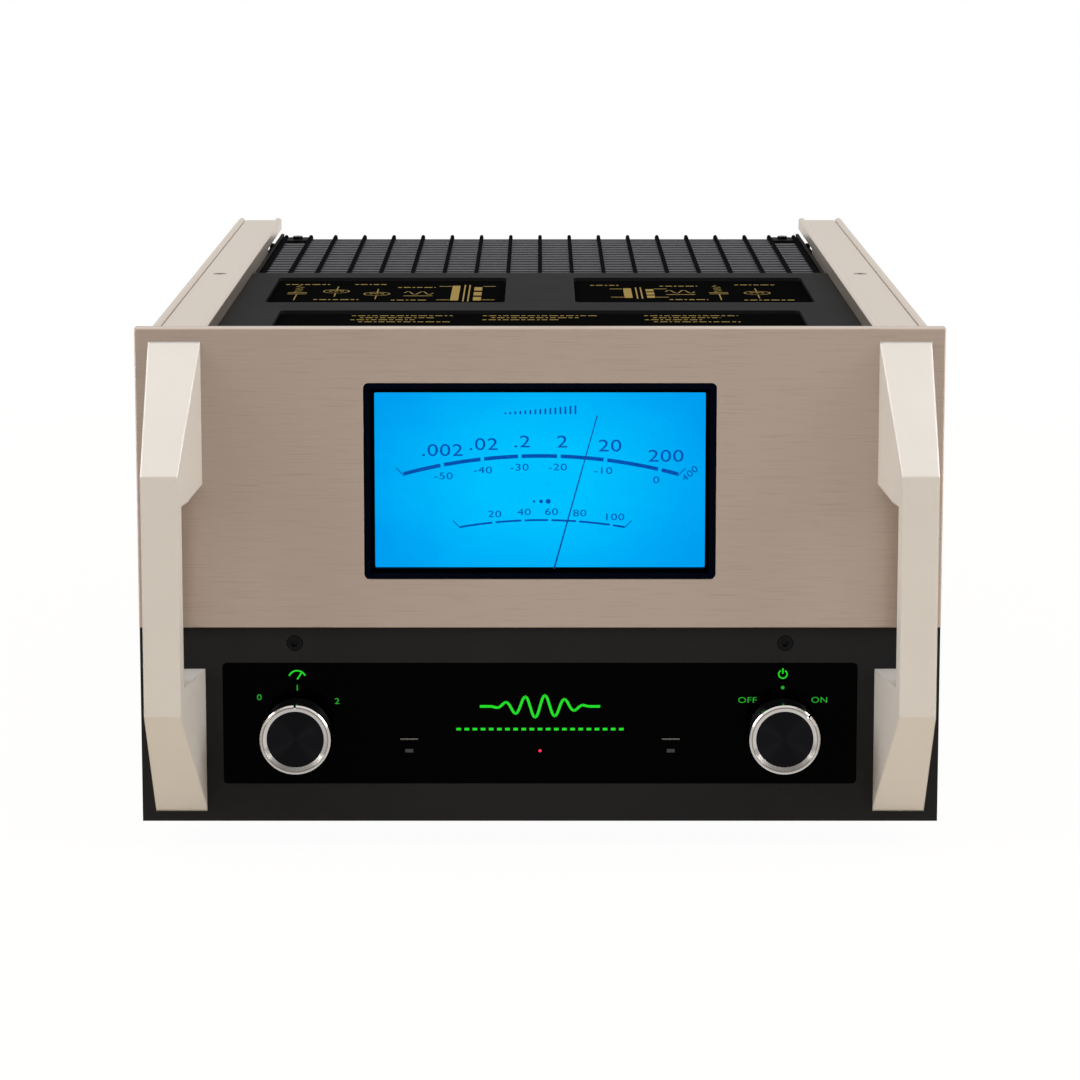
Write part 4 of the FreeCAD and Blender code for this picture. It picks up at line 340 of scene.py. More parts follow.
@dataclass(frozen=True)
class Glow(Finish):
    """Ink or a lens that light shines through.

    Attributes:
        strength: Strength of the light.
    """

    strength: float = 1.0

    def dress(self, shader: Node) -> None:
        """Let the grained colour shine.

        Args:
            shader: The material's Principled shader.
        """
        super().dress(shader)
        tint = shader.inputs["Base Color"].links[0].from_socket
        shader.id_data.links.new(tint, shader.inputs["Emission Color"])
        shader.inputs["Emission Strength"].default_value = self.strength


class Side(Enum):
    """The way a flat print faces: the directions of its right and of its top."""

    FRONT = ((1, 0, 0), (0, 0, 1))
    TOP = ((1, 0, 0), (0, 1, 0))
    REAR = ((-1, 0, 0), (0, 0, 1))

class Artwork:
    """Flat shapes drawn in millimetres, which become one thin print on a face of the object."""

    def __init__(self) -> None:
        """Start an empty sheet."""
        self.sheet = bmesh.new()

    def bar(self, start: Point, end: Point, width: float) -> None:
        """Draw a straight stroke.

        Args:
            start: Middle of its one end.
            end: Middle of its other end.
            width: Width of the stroke.
        """
        begin, finish = Vector((*start, 0)), Vector((*end, 0))
        along = finish - begin
        shape = Matrix.Diagonal((along.length, width, 1, 1))
        turn = Matrix.Rotation(math.atan2(along.y, along.x), 4, "Z")
        bmesh.ops.create_grid(self.sheet, x_segments=1, y_segments=1, size=0.5,
                              matrix=Matrix.Translation((begin + finish) / 2) @ turn @ shape)

    def level(self, middle: Point, half: float, width: float) -> None:
        """Draw a level stroke that reaches as far to both sides of its middle."""
        self.bar((middle[0] - half, middle[1]), (middle[0] + half, middle[1]), width)

    def strokes(self, points: Sequence[Point], width: float) -> None:
        """Draw straight strokes from point to point."""
        for start, end in zip(points, points[1:]):
            self.bar(start, end, width)

    def arc(self, centre: Point, radius: float, start: float, end: float, width: float) -> None:
        """Draw a round stroke.

        Args:
            centre: Its centre.
            radius: Radius to the middle of the stroke.
            start: Where it starts, in degrees anticlockwise from the right.
            end: Where it ends, in the same way.
            width: Width of the stroke.
        """
        middle = Vector((*centre, 0))
        ray = Matrix.Rotation(math.radians(start), 3, "Z") @ Vector((1, 0, 0))
        near, far = (self.sheet.verts.new(middle + ray * (radius + way * width / 2))
                     for way in (-1, 1))
        edge = self.sheet.edges.new((near, far))
        steps = max(2, math.ceil(abs(end - start) * math.radians(radius) / ARC_STEP))
        bmesh.ops.spin(self.sheet, geom=[near, far, edge], cent=middle, axis=(0, 0, 1),
                       angle=math.radians(end - start), steps=steps, use_duplicate=False,
                       use_merge=end - start == FULL_TURN)

    def dot(self, centre: Point, radius: float) -> None:
        """Draw a filled round dot."""
        bmesh.ops.create_circle(self.sheet, cap_ends=True, segments=DOT_SIDES, radius=radius,
                                matrix=Matrix.Translation((*centre, 0)))

    def text(self, body: str, centre: Point, height: float, stretch: float = 1.25,
             turn: float = 0.0) -> None:
        """Set plain numbers or a short generic word.

        Args:
            body: The characters.
            centre: Their middle.
            height: Height of a capital or a number.
            stretch: How much wider than the plain letters they are drawn.
            turn: Angle in degrees, anticlockwise.
        """
        curve = bpy.data.curves.new("lettering", "FONT")
        curve.body, curve.align_x, curve.align_y = body, "CENTER", "CENTER"
        curve.space_character = LETTER_SPACE
        thing = bpy.data.objects.new("lettering", curve)
        flat = bpy.data.meshes.new_from_object(thing)
        bpy.data.objects.remove(thing)
        levels = [vertex.co.y for vertex in flat.vertices]
        size = height / (max(levels) - min(levels))
        flat.transform(Matrix.Translation((*centre, 0)) @ Matrix.Rotation(math.radians(turn), 4, "Z")
                       @ Matrix.Diagonal((size * stretch, size, 1, 1)))
        self.sheet.from_mesh(flat)
        bpy.data.meshes.remove(flat)

    def print_on(self, name: str, side: Side, origin: Sequence[float]) -> Mesh:
        """Set the drawing on its face.

        Args:
            name: Name of the mesh.
            side: The way the face looks.
            origin: The drawing's zero point in metres.

        Returns:
            The print as a mesh whose faces look outwards.
        """
        self.sheet.normal_update()
        inward = [face for face in self.sheet.faces if face.normal.z < 0]
        bmesh.ops.reverse_faces(self.sheet, faces=inward)
        right, up = (Vector(way) for way in side.value)
        turned = Matrix((right, up, right.cross(up))).transposed().to_4x4()
        self.sheet.transform(Matrix.Translation(Vector(origin)) @ turned @ Matrix.Scale(MM, 4))
        made = bpy.data.meshes.new(name)
        self.sheet.to_mesh(made)
        self.sheet.free()
        return made


@dataclass
class SubAssembly:
    """A group of pieces that is finished together.

    Attributes:
        body: The moving body that new pieces ride on.
    """

    body: str = "housing"

    def paint(self, finish: Finish, *nodes: str) -> None:
        """Give CAD pieces their finish.

        Args:
            finish: The finish.
            nodes: Names of the CAD pieces.
        """
        for node in nodes:
            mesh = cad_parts[node].data
            mesh.materials.clear()
            mesh.materials.append(finish.material())
            LOG.info("%s: %s", node, finish.name)

    def add(self, name: str, art: Artwork, side: Side, origin: Sequence[float], finish: Finish,
            slot: str) -> None:
        """Add a print as a new piece that rides on the body.

        Args:
            name: The piece's name.
            art: Its drawing.
            side: The way its face looks.
            origin: The drawing's zero point in metres.
            finish: Its finish.
            slot: Not used.
        """
        mesh = art.print_on(name, side, origin)
        piece = bpy.data.objects.new(name, mesh)
        bpy.context.scene.collection.objects.link(piece)
        mesh.materials.append(finish.material())
        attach(piece, self.body)
        LOG.info("%s: %s, %d faces", name, finish.name, len(mesh.polygons))

    def build(self) -> None:
        """Finish the group's pieces."""
        raise NotImplementedError


# Brushed along its length, then anodised: a soft warm sheen with fine level streaks, a few stray.
# Real brushing is about 0.1 mm fine; it is drawn 0.45 mm high, or it would not show.
CHAMPAGNE = BrushedPlate("brushed champagne anodised aluminium", "#B1A195", 0.36, metallic=0.7,
    grain=(60, 60, 0.45), tone=0.03, relief=0.004, edge=0.5, specular=0.1, anisotropy=0.88)
# Bead blasting leaves an even frost, so light rolls off the handles without streaks.
BLASTED = Finish("bead-blasted clear anodised aluminium", "#C5C0BA", 0.5, metallic=0.45,
                 grain=0.35, tone=0.03, uneven=0.04, relief=0.006, edge=1.6, specular=0.05)
# Extruded and lightly brushed along its length: a satin band of light that runs down the rail.
EXTRUDED = DirectionalMetal("satin extruded aluminium", "#C9BAAA", 0.34, grain=(0.5, 80, 0.5), tone=0.04,
    relief=0.004, edge=0.4, anisotropy=0.4, axis="Y", turn=0.0)
# Fine-etched and dyed black: a flat satin that is only a little lighter where it faces up.
BLACK_ANODISED = Finish("satin black anodised aluminium", "#1D1D1E", 0.42, grain=0.4,
                        tone=0.12, relief=0.006, edge=0.4, specular=0.05)
# Baked powder has a fine orange peel and a low shine.
POWDER_COAT = Finish("satin black powder-coated steel", "#171717", 0.5, grain=0.6,
                     tone=0.15, uneven=0.06, relief=0.012, edge=0.4, specular=0.006)
# Sprayed texture paint: tiny grains that break up any reflection.
CHASSIS_COAT = Finish("fine textured black chassis paint", "#191919", 0.55, grain=0.8,
                      tone=0.15, uneven=0.06, relief=0.02, specular=0.08)
# Dipped black paint on round wire, smooth and nearly dry.
CAGE_COAT = Finish("black dip-painted steel rod", "#0E0E0F", 0.4, grain=0.8, tone=0.1,
                   relief=0.008, specular=0.0)
# The cross wires wear the same black paint as the rods; their grey metal colour here is a painted sheen, so
# their tops mirror the light above and their fronts stay dark.
WIRE_WITH_PAINTED_SHEEN = Finish("black steel wire with painted grey sheen", "#5B5B5E", 0.36, metallic=0.9,
                   grain=0.8, tone=0.08, relief=0.006)
# Anti-reflective glass printed black behind hardly shows the room at all.
BLACK_PANE = Finish("black-backed anti-reflective glass", "#010101", 0.12, grain=2.0,
                    tone=0.3, uneven=0.02, relief=0.0, specular=0.01)
# The same kind of pane lying flat, seen at a low angle and still deep black.
LABEL_PANE = Finish("black-backed anti-reflective label glass", "#060606", 0.3,
                    grain=2.0, tone=0.2, uneven=0.02, relief=0.0, specular=0.0)
# Matt black paint on the bezel swallows most of the dial's light; its faint navy colour is a painted blue
# glow from the dial.
BEZEL_BLACK_WITH_PAINTED_GLOW = Finish("matt black bezel with painted blue glow", "#01040E", 0.6, grain=0.4, tone=0.2,
                     relief=0.004, specular=0.01)
# Blackened steel keeps a dull dark glint.
BLACK_OXIDE = Finish("black oxide steel", "#111112", 0.3, metallic=0.9, grain=0.3,
                     tone=0.15, uneven=0.06, relief=0.006, edge=0.5)
# Bright zinc is a slightly cloudy silver.
ZINC = Finish("zinc-plated steel", "#A9A7A3", 0.32, metallic=1.0, grain=0.4, tone=0.06,
              uneven=0.08, relief=0.004)
# Carbonised nickel is a dry dark grey.
NICKEL = Finish("carbonised nickel sheet", "#4A4A4C", 0.5, metallic=0.8, tone=0.1, uneven=0.08)
# Thin gold over turned brass, smooth and warm.
GOLD = Finish("gold-plated brass", "#D9A441", 0.22, metallic=1.0, relief=0.002)
# Bronze-powder ink dries to an even dull gold.
GOLD_INK = Finish("gold screen print", "#7A683C", 0.5, grain=0.3, tone=0.1, uneven=0.08,
                  relief=0.004, specular=0.0)
# Light comes through clear gaps in the pane's black print.
GREEN_INK = Glow("green light through a stencilled pane", "#12A41A", 0.5, strength=0.9, specular=0.1)
# The small marks are stencilled finer and look a little dimmer.
DIM_GREEN_INK = Glow("dimmer green light through a pane", "#1A8A22", 0.5, strength=0.8, specular=0.1)
# Plain matt ink, unlit.
GREY_INK = Finish("grey screen print", "#545452", 0.5, grain=0.3, tone=0.08, relief=0.003)
# The same ink in pale grey, so that it reads on the dark rear plate.
PALE_INK = Finish("pale grey screen print", "#A9A8A4", 0.5, grain=0.3, relief=0.003)
# Dense blue ink lets a little of the light behind it through.
NAVY_INK = Glow("navy print on a lit dial", "#043A82", 0.6, strength=0.6, specular=0.0)
# A small moulded lens, lit from behind.
RED_LENS = Glow("red lit lens", "#D81C40", 0.25, strength=0.9, specular=0.2)
# The same lens unlit is nearly black.
DARK_LENS = Finish("smoked lamp lens", "#1E1E20", 0.3, tone=0.08, relief=0.002)
# Thin blue lacquer on a thin strip, flat and dark against the dial.
NEEDLE_LACQUER = Finish("dark blue lacquered aluminium", "#0A4A92", 0.5, grain=0.4,
                        tone=0.1, relief=0.002, specular=0.02)
# Turned across its face, then dyed black: wedges of light lean round the middle.
KNOB_BLACK = DirectionalMetal("turned black anodised aluminium", "#19191B", 0.42,
                              grain=0.3, tone=0.08, uneven=0.04, relief=0.002, anisotropy=0.92, axis="Y")
# Turned and polished bright, with crisp light and dark round the ring.
RING_METAL = DirectionalMetal("polished aluminium ring", "#C0BBB6", 0.16, grain=0.3,
                              tone=0.03, uneven=0.03, relief=0.001, anisotropy=0.5, axis="Y")
# Soft rubber, dull and slightly dusty.
RUBBER = Finish("moulded black rubber", "#1D1D1D", 0.75, grain=0.7, tone=0.12, relief=0.03)
# Injection-moulded with a fine spark texture.
BLACK_PLASTIC = Finish("moulded black plastic", "#171717", 0.42, grain=0.6, tone=0.1, relief=0.012)
# The same moulding, glossier, in signal red.
RED_PLASTIC = Finish("moulded red plastic", "#A01518", 0.3, grain=0.6, tone=0.06, relief=0.008)
# Glass-filled grey plastic of a switch.
GREY_PLASTIC = Finish("moulded grey plastic", "#4A4A4C", 0.45, grain=0.6, tone=0.06)
# White plastic that spreads a lamp's light.
WHITE_PLASTIC = Finish("moulded white plastic", "#E2E1DC", 0.4, grain=0.6, tone=0.03, relief=0.008)
# Glazed ceramic, smooth with a soft shine.
CERAMIC = Finish("glazed white ceramic", "#E6E2D6", 0.18, grain=1.0, tone=0.03, uneven=0.04)
# Pressed brown resin, slightly mottled.
PHENOLIC = Finish("moulded brown phenolic", "#2A1B14", 0.3, grain=0.8, tone=0.1)
# Green lacquer over woven glass.
BOARD = Finish("green lacquered circuit board", "#14532D", 0.35, grain=1.2, tone=0.12,
               uneven=0.06, relief=0.02)
# Thin shrunk film, taut over the can.
SLEEVE = Finish("blue shrink sleeve", "#1B2C5A", 0.35, grain=0.8, tone=0.08)
# Coated so well that it is hardly seen.
METER_PANE = ClearGlass("anti-reflective clear meter glass", "#FFFFFF", 0.0, grain=5.0,
                        tone=0.0, uneven=0.0, relief=0.0, index=1.01)
# Blown glass, slightly wavy.
TUBE_GLASS = ClearGlass("blown clear glass", "#F4F8F8", 0.03, grain=6.0, tone=0.02, uneven=0.02)
# Cast sheet with a faint cool tint.
ACRYLIC = ClearGlass("clear cast acrylic", "#E6F2FF", 0.06, grain=5.0, tone=0.02, uneven=0.02, relief=0.0)


@dataclass
class Faceplate(SubAssembly):
    """The champagne upper plate, the black lower plate and what fastens them."""

    def build(self) -> None:
        """Finish both plates and their screws."""
        self.paint(CHAMPAGNE, "front_panel")
        self.paint(BLACK_ANODISED, "control_panel")
        self.paint(BLACK_OXIDE, "control_panel_screws")
        self.paint(CHASSIS_COAT, "front_frame")


@dataclass(frozen=True)
class ScaleArc:
    """One printed scale of the dial, an arc broken at its marks. Lengths are in millimetres.

    Attributes:
        crown: Middle of the arc, where it is highest.
        radius: Its radius.
        ends: The x of both ends.
        marks: The x of each break.
        width: Width of the line.
        gap: Width of a break.
        tick: Reach of the thin slanted line at each end.
        tick_width: Width of that line.
    """

    crown: Point
    radius: float
    ends: Point
    marks: tuple[float, ...]
    width: float
    gap: float
    tick: float
    tick_width: float = 0.5

    def angle(self, across: float) -> float:
        """Angle in degrees, anticlockwise from the right, of the arc's point at this x."""
        return 90 - math.degrees(math.asin((across - self.crown[0]) / self.radius))

    def spot(self, across: float, lift: float) -> Point:
        """Point over the place at this x that stands off the arc by a lift, negative for below."""
        angle, reach = math.radians(self.angle(across)), self.radius + lift
        return (self.crown[0] + reach * math.cos(angle),
                self.crown[1] - self.radius + reach * math.sin(angle))

    def draw(self, art: Artwork) -> None:
        """Draw the broken arc and its end ticks.

        Args:
            art: The drawing.
        """
        centre = (self.crown[0], self.crown[1] - self.radius)
        starts = (self.ends[0], *[mark + self.gap / 2 for mark in self.marks])
        stops = (*[mark - self.gap / 2 for mark in self.marks], self.ends[1])
        for start, stop in zip(starts, stops):
            art.arc(centre, self.radius, self.angle(stop), self.angle(start), self.width)
        for end, way in zip(self.ends, (-1, 1)):
            foot = self.spot(end, -self.width / 2)
            art.bar(foot, (foot[0] + way * self.tick, foot[1] + self.tick), self.tick_width)


@dataclass
class Meter(SubAssembly):
    """The lit power meter: bezel, glass, dial, needle and what is behind them.

    The prints are measured in millimetres from the middle of the bench under the dial. The upper scale has
    the watts over it and the decibels under it, and the lower one the share of full power.
    """

    upper: ScaleArc = ScaleArc(crown=(0.2, 225.5), radius=292.6, ends=(-76.5, 77.4),
        marks=(-54.8, -32.3, -11.3, 10.6, 36.6, 67.1), width=2.1, gap=2.0, tick=4.4)
    lower: ScaleArc = ScaleArc(crown=(1.2, 188.9), radius=267.0, ends=(-44.8, 47.3),
        marks=(-25.8, -9.5, 5.5, 21.1, 40.1), width=1.1, gap=1.8, tick=4.2)
    watts: tuple[str, ...] = (".002", ".02", ".2", "2", "20", "200")
    decibels: tuple[str, ...] = ("-50", "-40", "-30", "-20", "-10", "0")
    share: tuple[str, ...] = ("20", "40", "60", "80", "100")
    last: str = "400"
    sill_level: float = 160.4
    sill_width: float = 3.0
    glow_height: float = 1.25

    def build(self) -> None:
        """Finish the meter and print its dial."""
        low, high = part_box("meter_dial")
        half = (high - low) / 2
        blue = LitPanel("blue print lit from behind", "#00C0FF", 0.6, specular=0.0, edge_colour="#009EF0",
                        middle=tuple((low + high) / 2), reach=(half.x, half.z * self.glow_height))
        self.paint(blue, "meter_dial")
        # The bezel and the dial's mask carry a painted blue glow of the dial's light in their black.
        self.paint(BEZEL_BLACK_WITH_PAINTED_GLOW, "meter_bezel")
        self.paint(METER_PANE, "meter_window")
        self.paint(ACRYLIC, "meter_light_guide")
        self.paint(WHITE_PLASTIC, "meter_lamp_housing")
        self.paint(ZINC, "meter_movement")
        self.paint(NEEDLE_LACQUER, "meter_needle")
        origin = (0, low.y - INK_LIFT, 0)
        mask = Artwork()
        mask.bar((low.x / MM, self.sill_level), (high.x / MM, self.sill_level), self.sill_width)
        prints = (("dial_mask", mask, BEZEL_BLACK_WITH_PAINTED_GLOW), ("dial_print", self.dial_art(), NAVY_INK))
        for name, art, finish in prints:
            self.add(name, art, Side.FRONT, origin, finish, "meter_blue")

    def dial_art(self) -> Artwork:
        """Draw both scales with their numbers, the bars and the dots.

        Returns:
            The drawing.
        """
        art = Artwork()
        for scale in (self.upper, self.lower):
            scale.draw(art)
        for scale, bodies, shift, lift, height, stretch in ((self.upper, self.watts, 1.5, 8.0, 6.8, 1.35),
                (self.upper, self.decibels, -0.5, -6.4, 3.9, 1.4),
                (self.lower, self.share, 0.8, 4.6, 3.8, 1.4)):
            for mark, body in zip(scale.marks, bodies):
                art.text(body, scale.spot(mark + shift, lift), height, stretch)
        art.text(self.last, self.upper.spot(83.5, 2.0), height=3.8, turn=42)
        level, first, growth = 249.2, 1.0, 0.28
        for index, across in enumerate(spread(15, 2.8, 0.2)):
            art.bar((across, level), (across, level + first + index * growth), width=1.0)
        level, first, growth = 199.6, 0.7, 0.35
        for index, across in enumerate(spread(3, 4.0, 0.6)):
            art.dot((across, level), radius=first + index * growth)
        return art


@dataclass
class ControlGlass(SubAssembly):
    """The black glass strip with its lit marks and lamps.

    Levels are millimetres over the bench, and marks stand so far right and up of their knob's middle.
    """

    letter_height: float = 3.3
    meter_marks: tuple[tuple[str, Point], ...] = (
        ("0", (-21.5, 19.0)), ("1", (0.0, 24.5)), ("2", (22.4, 16.8)))
    power_marks: tuple[tuple[str, Point], ...] = (("OFF", (-19.9, 17.4)), ("ON", (20.8, 17.5)))
    wave_half: float = 28.0
    wave_level: float = 82.4
    dash_level: float = 69.2
    lamp_radius: float = 0.85
    window_away: float = 74.0
    window_level: float = 63.4

    def build(self) -> None:
        """Finish the pane, then light its prints."""
        low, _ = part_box("control_glass")
        origin = (0, low.y - INK_LIFT, 0)
        self.paint(BLACK_PANE, "control_glass")
        self.paint(DARK_LENS, "indicator_lamps")
        self.paint(BOARD, "display_board")
        for name, art, finish in (("control_print", self.control_art(), DIM_GREEN_INK),
                                  ("wave_print", self.wave_art(), GREEN_INK),
                                  ("lamp_print", self.lamp_art(), GREY_INK)):
            self.add(name, art, Side.FRONT, origin, finish, "black_glass")
        lamp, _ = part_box("indicator_lamps")
        glow = Artwork()
        glow.dot((0.0, self.middle("indicator_lamps")[1]), self.lamp_radius)
        origin = (0, min(lamp.y, low.y) - INK_LIFT, 0)
        self.add("red_lamp", glow, Side.FRONT, origin, RED_LENS, "lamp_lens")

    def middle(self, node: str) -> Point:
        """Middle of a CAD piece, across and up, in millimetres."""
        low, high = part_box(node)
        return ((low.x + high.x) / 2 / MM, (low.z + high.z) / 2 / MM)

    def control_art(self) -> Artwork:
        """Draw the knobs' marks: plain numbers at the left, OFF, a dot and ON at the right.

        Returns:
            The drawing.
        """
        art = Artwork()
        left, right = self.middle("meter_knob_body"), self.middle("power_knob_body")
        for knob, marks in ((left, self.meter_marks), (right, self.power_marks)):
            for body, (across, up) in marks:
                art.text(body, (knob[0] + across, knob[1] + up), self.letter_height)
        art.dot((right[0], right[1] + 24.8), radius=1.0)
        return art

    def wave_art(self) -> Artwork:
        """Draw a swelling wave over a row of short dashes, and a sign over each knob.

        Returns:
            The drawing.
        """
        art = Artwork()
        half, level = self.wave_half, self.wave_level
        height, length, tail, width, steps = 6.6, 11.2, 6.0, 1.5, 72
        points = []
        for across in spread(steps + 1, 2 * half / steps):
            swell = max(0.0, math.cos(math.pi * across / (2 * half))) ** 1.3
            points.append((across, level + height * swell * math.sin(math.tau * across / length)))
        art.strokes(points, width)
        for across in spread(2, 2 * half + tail):
            art.level((across, level), tail / 2, width)
        for across in spread(21, 4.6):
            art.level((across, self.dash_level), 1.3, width)
        across, up = self.middle("meter_knob_body")
        foot, width = (across, up + 29.6), 0.9
        art.arc(foot, 5.0, 25, 155, width)
        art.bar(foot, (across + 2.6, up + 33.6), width)
        across, up = self.middle("power_knob_body")
        width = 0.8
        art.arc((across, up + 32.6), 2.4, 120, 420, width)
        art.bar((across, up + 32.8), (across, up + 36.0), width)
        return art

    def lamp_art(self) -> Artwork:
        """Draw a short grey line over each lamp window.

        Returns:
            The drawing.
        """
        art = Artwork()
        for across in (-self.window_away, self.window_away):
            art.level((across, self.window_level), half=5, width=0.7)
        return art


@dataclass
class Knob(SubAssembly):
    """A turned black knob with a polished ring and the switch behind it.

    Attributes:
        name: The knob's name in CAD.
    """

    name: str = "meter"

    def build(self) -> None:
        """Finish the knob, its shaft and its switch."""
        self.paint(KNOB_BLACK, f"{self.name}_knob_body")
        self.paint(RING_METAL, f"{self.name}_knob_ring")
        self.paint(ZINC, f"{self.name}_knob_shaft")
        self.paint(GREY_PLASTIC, f"{self.name}_switch")


@dataclass
class HandlesAndRails(SubAssembly):
    """The two grab handles and the two side rails."""

    def build(self) -> None:
        """Finish handles, rails and their fasteners."""
        self.paint(BLASTED, "handle_left", "handle_right")
        self.paint(EXTRUDED, "side_rail_left", "side_rail_right")
        self.paint(BLACK_OXIDE, "handle_bolts", "rail_screws")


@dataclass
class TopCover(SubAssembly):
    """The black cover over the front bay with its three printed panes.

    The print is measured in millimetres from the middle of the whole amplifier. Each sign has its middle and
    a transformer also half its height, a line its start, level and end, and a block its start, end and rows.
    """

    ladders: tuple[Point, ...] = ((-152, -30), (112, -30))
    tubes: tuple[Point, ...] = ((-128, -24), (-102, -36), (136, -32))
    waves: tuple[Point, ...] = ((-76, -32), (88, -26))
    transformers: tuple[tuple[Point, float], ...] = (((-46, -32), 34), ((62, -32), 22))
    lines: tuple[Place, ...] = (
        (-162, 8, -134), (-118, 8, -98), (-90, -6, -66), (-140, -62, -112), (-92, -64, -70),
        (32, 4, 50), (76, 0, 100), (124, 6, 150), (80, -62, 104), (126, -64, 158))
    blocks: tuple[tuple[float, float, int], ...] = ((-112, -52, 4), (-34, 34, 3), (62, 118, 4))
    dashes: tuple[float, ...] = (2.4, 4.4, 1.6, 3.4, 5.2)
    dash_gap: float = 1.2

    def build(self) -> None:
        """Finish the cover and its panes, and print a generic drawing on each."""
        self.paint(POWDER_COAT, "top_cover")
        self.paint(LABEL_PANE, "label_glasses")
        _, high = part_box("label_glasses")
        origin = (0, 0, high.z + INK_LIFT)
        self.add("cover_print", self.cover_art(), Side.TOP, origin, GOLD_INK, "black_glass")

    def cover_art(self) -> Artwork:
        """Draw circuit signs on the two rear panes and rows of short lines on the front one.

        Returns:
            The drawing.
        """
        art = Artwork()
        for sign, middles in ((self.ladder, self.ladders), (self.tube, self.tubes),
                              (self.wave_mark, self.waves)):
            for middle in middles:
                sign(art, middle)
        for middle, half in self.transformers:
            self.transformer(art, middle, half)
        for start, level, end in self.lines:
            self.row(art, (start, level), end, width=2.6)
        first, pitch, indent, ragged = -132, 8.4, 5, 11
        for start, end, rows in self.blocks:
            for index in range(rows):
                spot = (start + indent * (index % 2), first - index * pitch)
                self.row(art, spot, end - ragged * (index % 3), width=2.2)
        return art

    def row(self, art: Artwork, start: Point, end: float, width: float) -> None:
        """Draw a row of short dashes.

        Args:
            art: The drawing.
            start: Start of the first dash.
            end: The x that no dash passes.
            width: Width of the dashes.
        """
        across, index = start[0], 0
        while across < end:
            length = self.dashes[index % len(self.dashes)]
            art.bar((across, start[1]), (min(across + length, end), start[1]), width)
            across += length + self.dash_gap
            index += 1

    def transformer(self, art: Artwork, middle: Point, half: float) -> None:
        """Draw a long and three short windings as blocks, with a core of two thin bars between.

        Args:
            art: The drawing.
            middle: Middle of the sign.
            half: Half the height of its windings.
        """
        winding, core_width, lead_width = 5.0, 0.9, 1.8
        across, low, high = middle[0], middle[1] - half, middle[1] + half
        for core, lead in ((across - 1.5, across - 14), (across + 1.5, across + 14)):
            art.bar((core, low - 4), (core, high + 4), core_width)
            for level in (low + 3, high - 3):
                art.level((lead, level), 4, lead_width)
        art.bar((across - 7, low), (across - 7, high), winding)
        third = (high - low) / 3
        for foot in (low, low + third, low + 2 * third):
            art.bar((across + 7, foot), (across + 7, foot + 0.7 * third), winding)

    def ladder(self, art: Artwork, middle: Point) -> None:
        """Draw a zigzag resistor over a pair of capacitor plates, joined by a line.

        Args:
            art: The drawing.
            middle: Middle of the sign, on its upper plate.
        """
        line, plate_width = 0.7, 1.8
        across, level = middle
        zigzag = [(across + (2.5 if index % 2 else -2.5), level + 28 - index * 4) for index in range(7)]
        art.strokes([(across, level + 34), *zigzag, middle], line)
        for plate in (level, level - 6):
            art.level((across, plate), 6, plate_width)
        art.bar((across, level - 6), (across, level - 34), line)

    def tube(self, art: Artwork, middle: Point) -> None:
        """Draw a tube sign: a ring with a plate, a broken grid and its leads.

        Args:
            art: The drawing.
            middle: Middle of the ring.
        """
        across, level = middle
        art.arc(middle, 8, 0, FULL_TURN, width=0.8)
        art.level((across, level + 3.5), 4.5, width=1.6)
        for place in spread(3, 3.6, across):
            art.level((place, level - 1), 1.1, width=1.4)
        for near, far in ((3.5, 22), (-8, -24)):
            art.bar((across, level + near), (across, level + far), width=0.7)

    def wave_mark(self, art: Artwork, middle: Point) -> None:
        """Draw a short level wave with a line under it."""
        art.strokes([(middle[0] + step, middle[1] + 7 * math.sin(step * math.pi / 4.5))
                     for step in spread(25, 0.75)], width=0.8)
        art.level((middle[0], middle[1] - 13), 9, width=1.8)


@dataclass
class TubeBay(SubAssembly):
    """The tubes on their deck under the wire cage."""

    def build(self) -> None:
        """Finish cage, tubes and deck."""
        self.paint(CAGE_COAT, "cage_rods")
        self.paint(POWDER_COAT, "cage_frame")
        # The cross wires get the painted grey sheen in place of their black paint.
        self.paint(WIRE_WITH_PAINTED_SHEEN, "cage_cross_wires")
        self.paint(BLACK_OXIDE, "cage_screws")
        self.paint(TUBE_GLASS, "output_tube_glasses", "signal_tubes")
        self.paint(NICKEL, "tube_anodes")
        self.paint(PHENOLIC, "output_tube_bases")
        self.paint(CERAMIC, "tube_sockets")
        self.paint(CHASSIS_COAT, "tube_deck", "bulkhead")


@dataclass
class Interior(SubAssembly):
    """The chassis and what it carries."""

    def build(self) -> None:
        """Finish chassis, transformers, supply, boards and feet."""
        self.paint(CHASSIS_COAT, "chassis")
        self.paint(POWDER_COAT, "power_transformer", "output_transformer")
        self.paint(SLEEVE, "filter_capacitors")
        self.paint(BOARD, "driver_board")
        self.paint(RUBBER, "feet")
        self.paint(ZINC, "foot_screws")


@dataclass
class RearPanel(SubAssembly):
    """The rear plate with its connectors.

    Attributes:
        taps: The speaker posts' numbers, from the first post on.
    """

    taps: tuple[str, ...] = ("0", "2", "4", "8")

    def build(self) -> None:
        """Finish plate and connectors, and number the speaker posts."""
        self.paint(CHASSIS_COAT, "rear_panel")
        self.paint(BLACK_PLASTIC, "power_inlet", "fuse_holder", "fuse_cap", "balanced_input",
                   "speaker_post_cap_1")
        self.paint(RED_PLASTIC, "speaker_post_cap_2", "speaker_post_cap_3", "speaker_post_cap_4")
        self.paint(GOLD, "speaker_posts", "unbalanced_input")
        self.paint(ZINC, "trigger_jacks")
        _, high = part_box("rear_panel")
        art = Artwork()
        for count, body in enumerate(self.taps, start=1):
            low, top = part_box(f"speaker_post_cap_{count}")
            # Seen from behind, right is the other way.
            art.text(body, (-(low.x + top.x) / 2 / MM, top.z / MM + 9), height=5)
        self.add("rear_print", art, Side.REAR, (0, high.y + INK_LIFT, 0), PALE_INK, "chassis_paint")


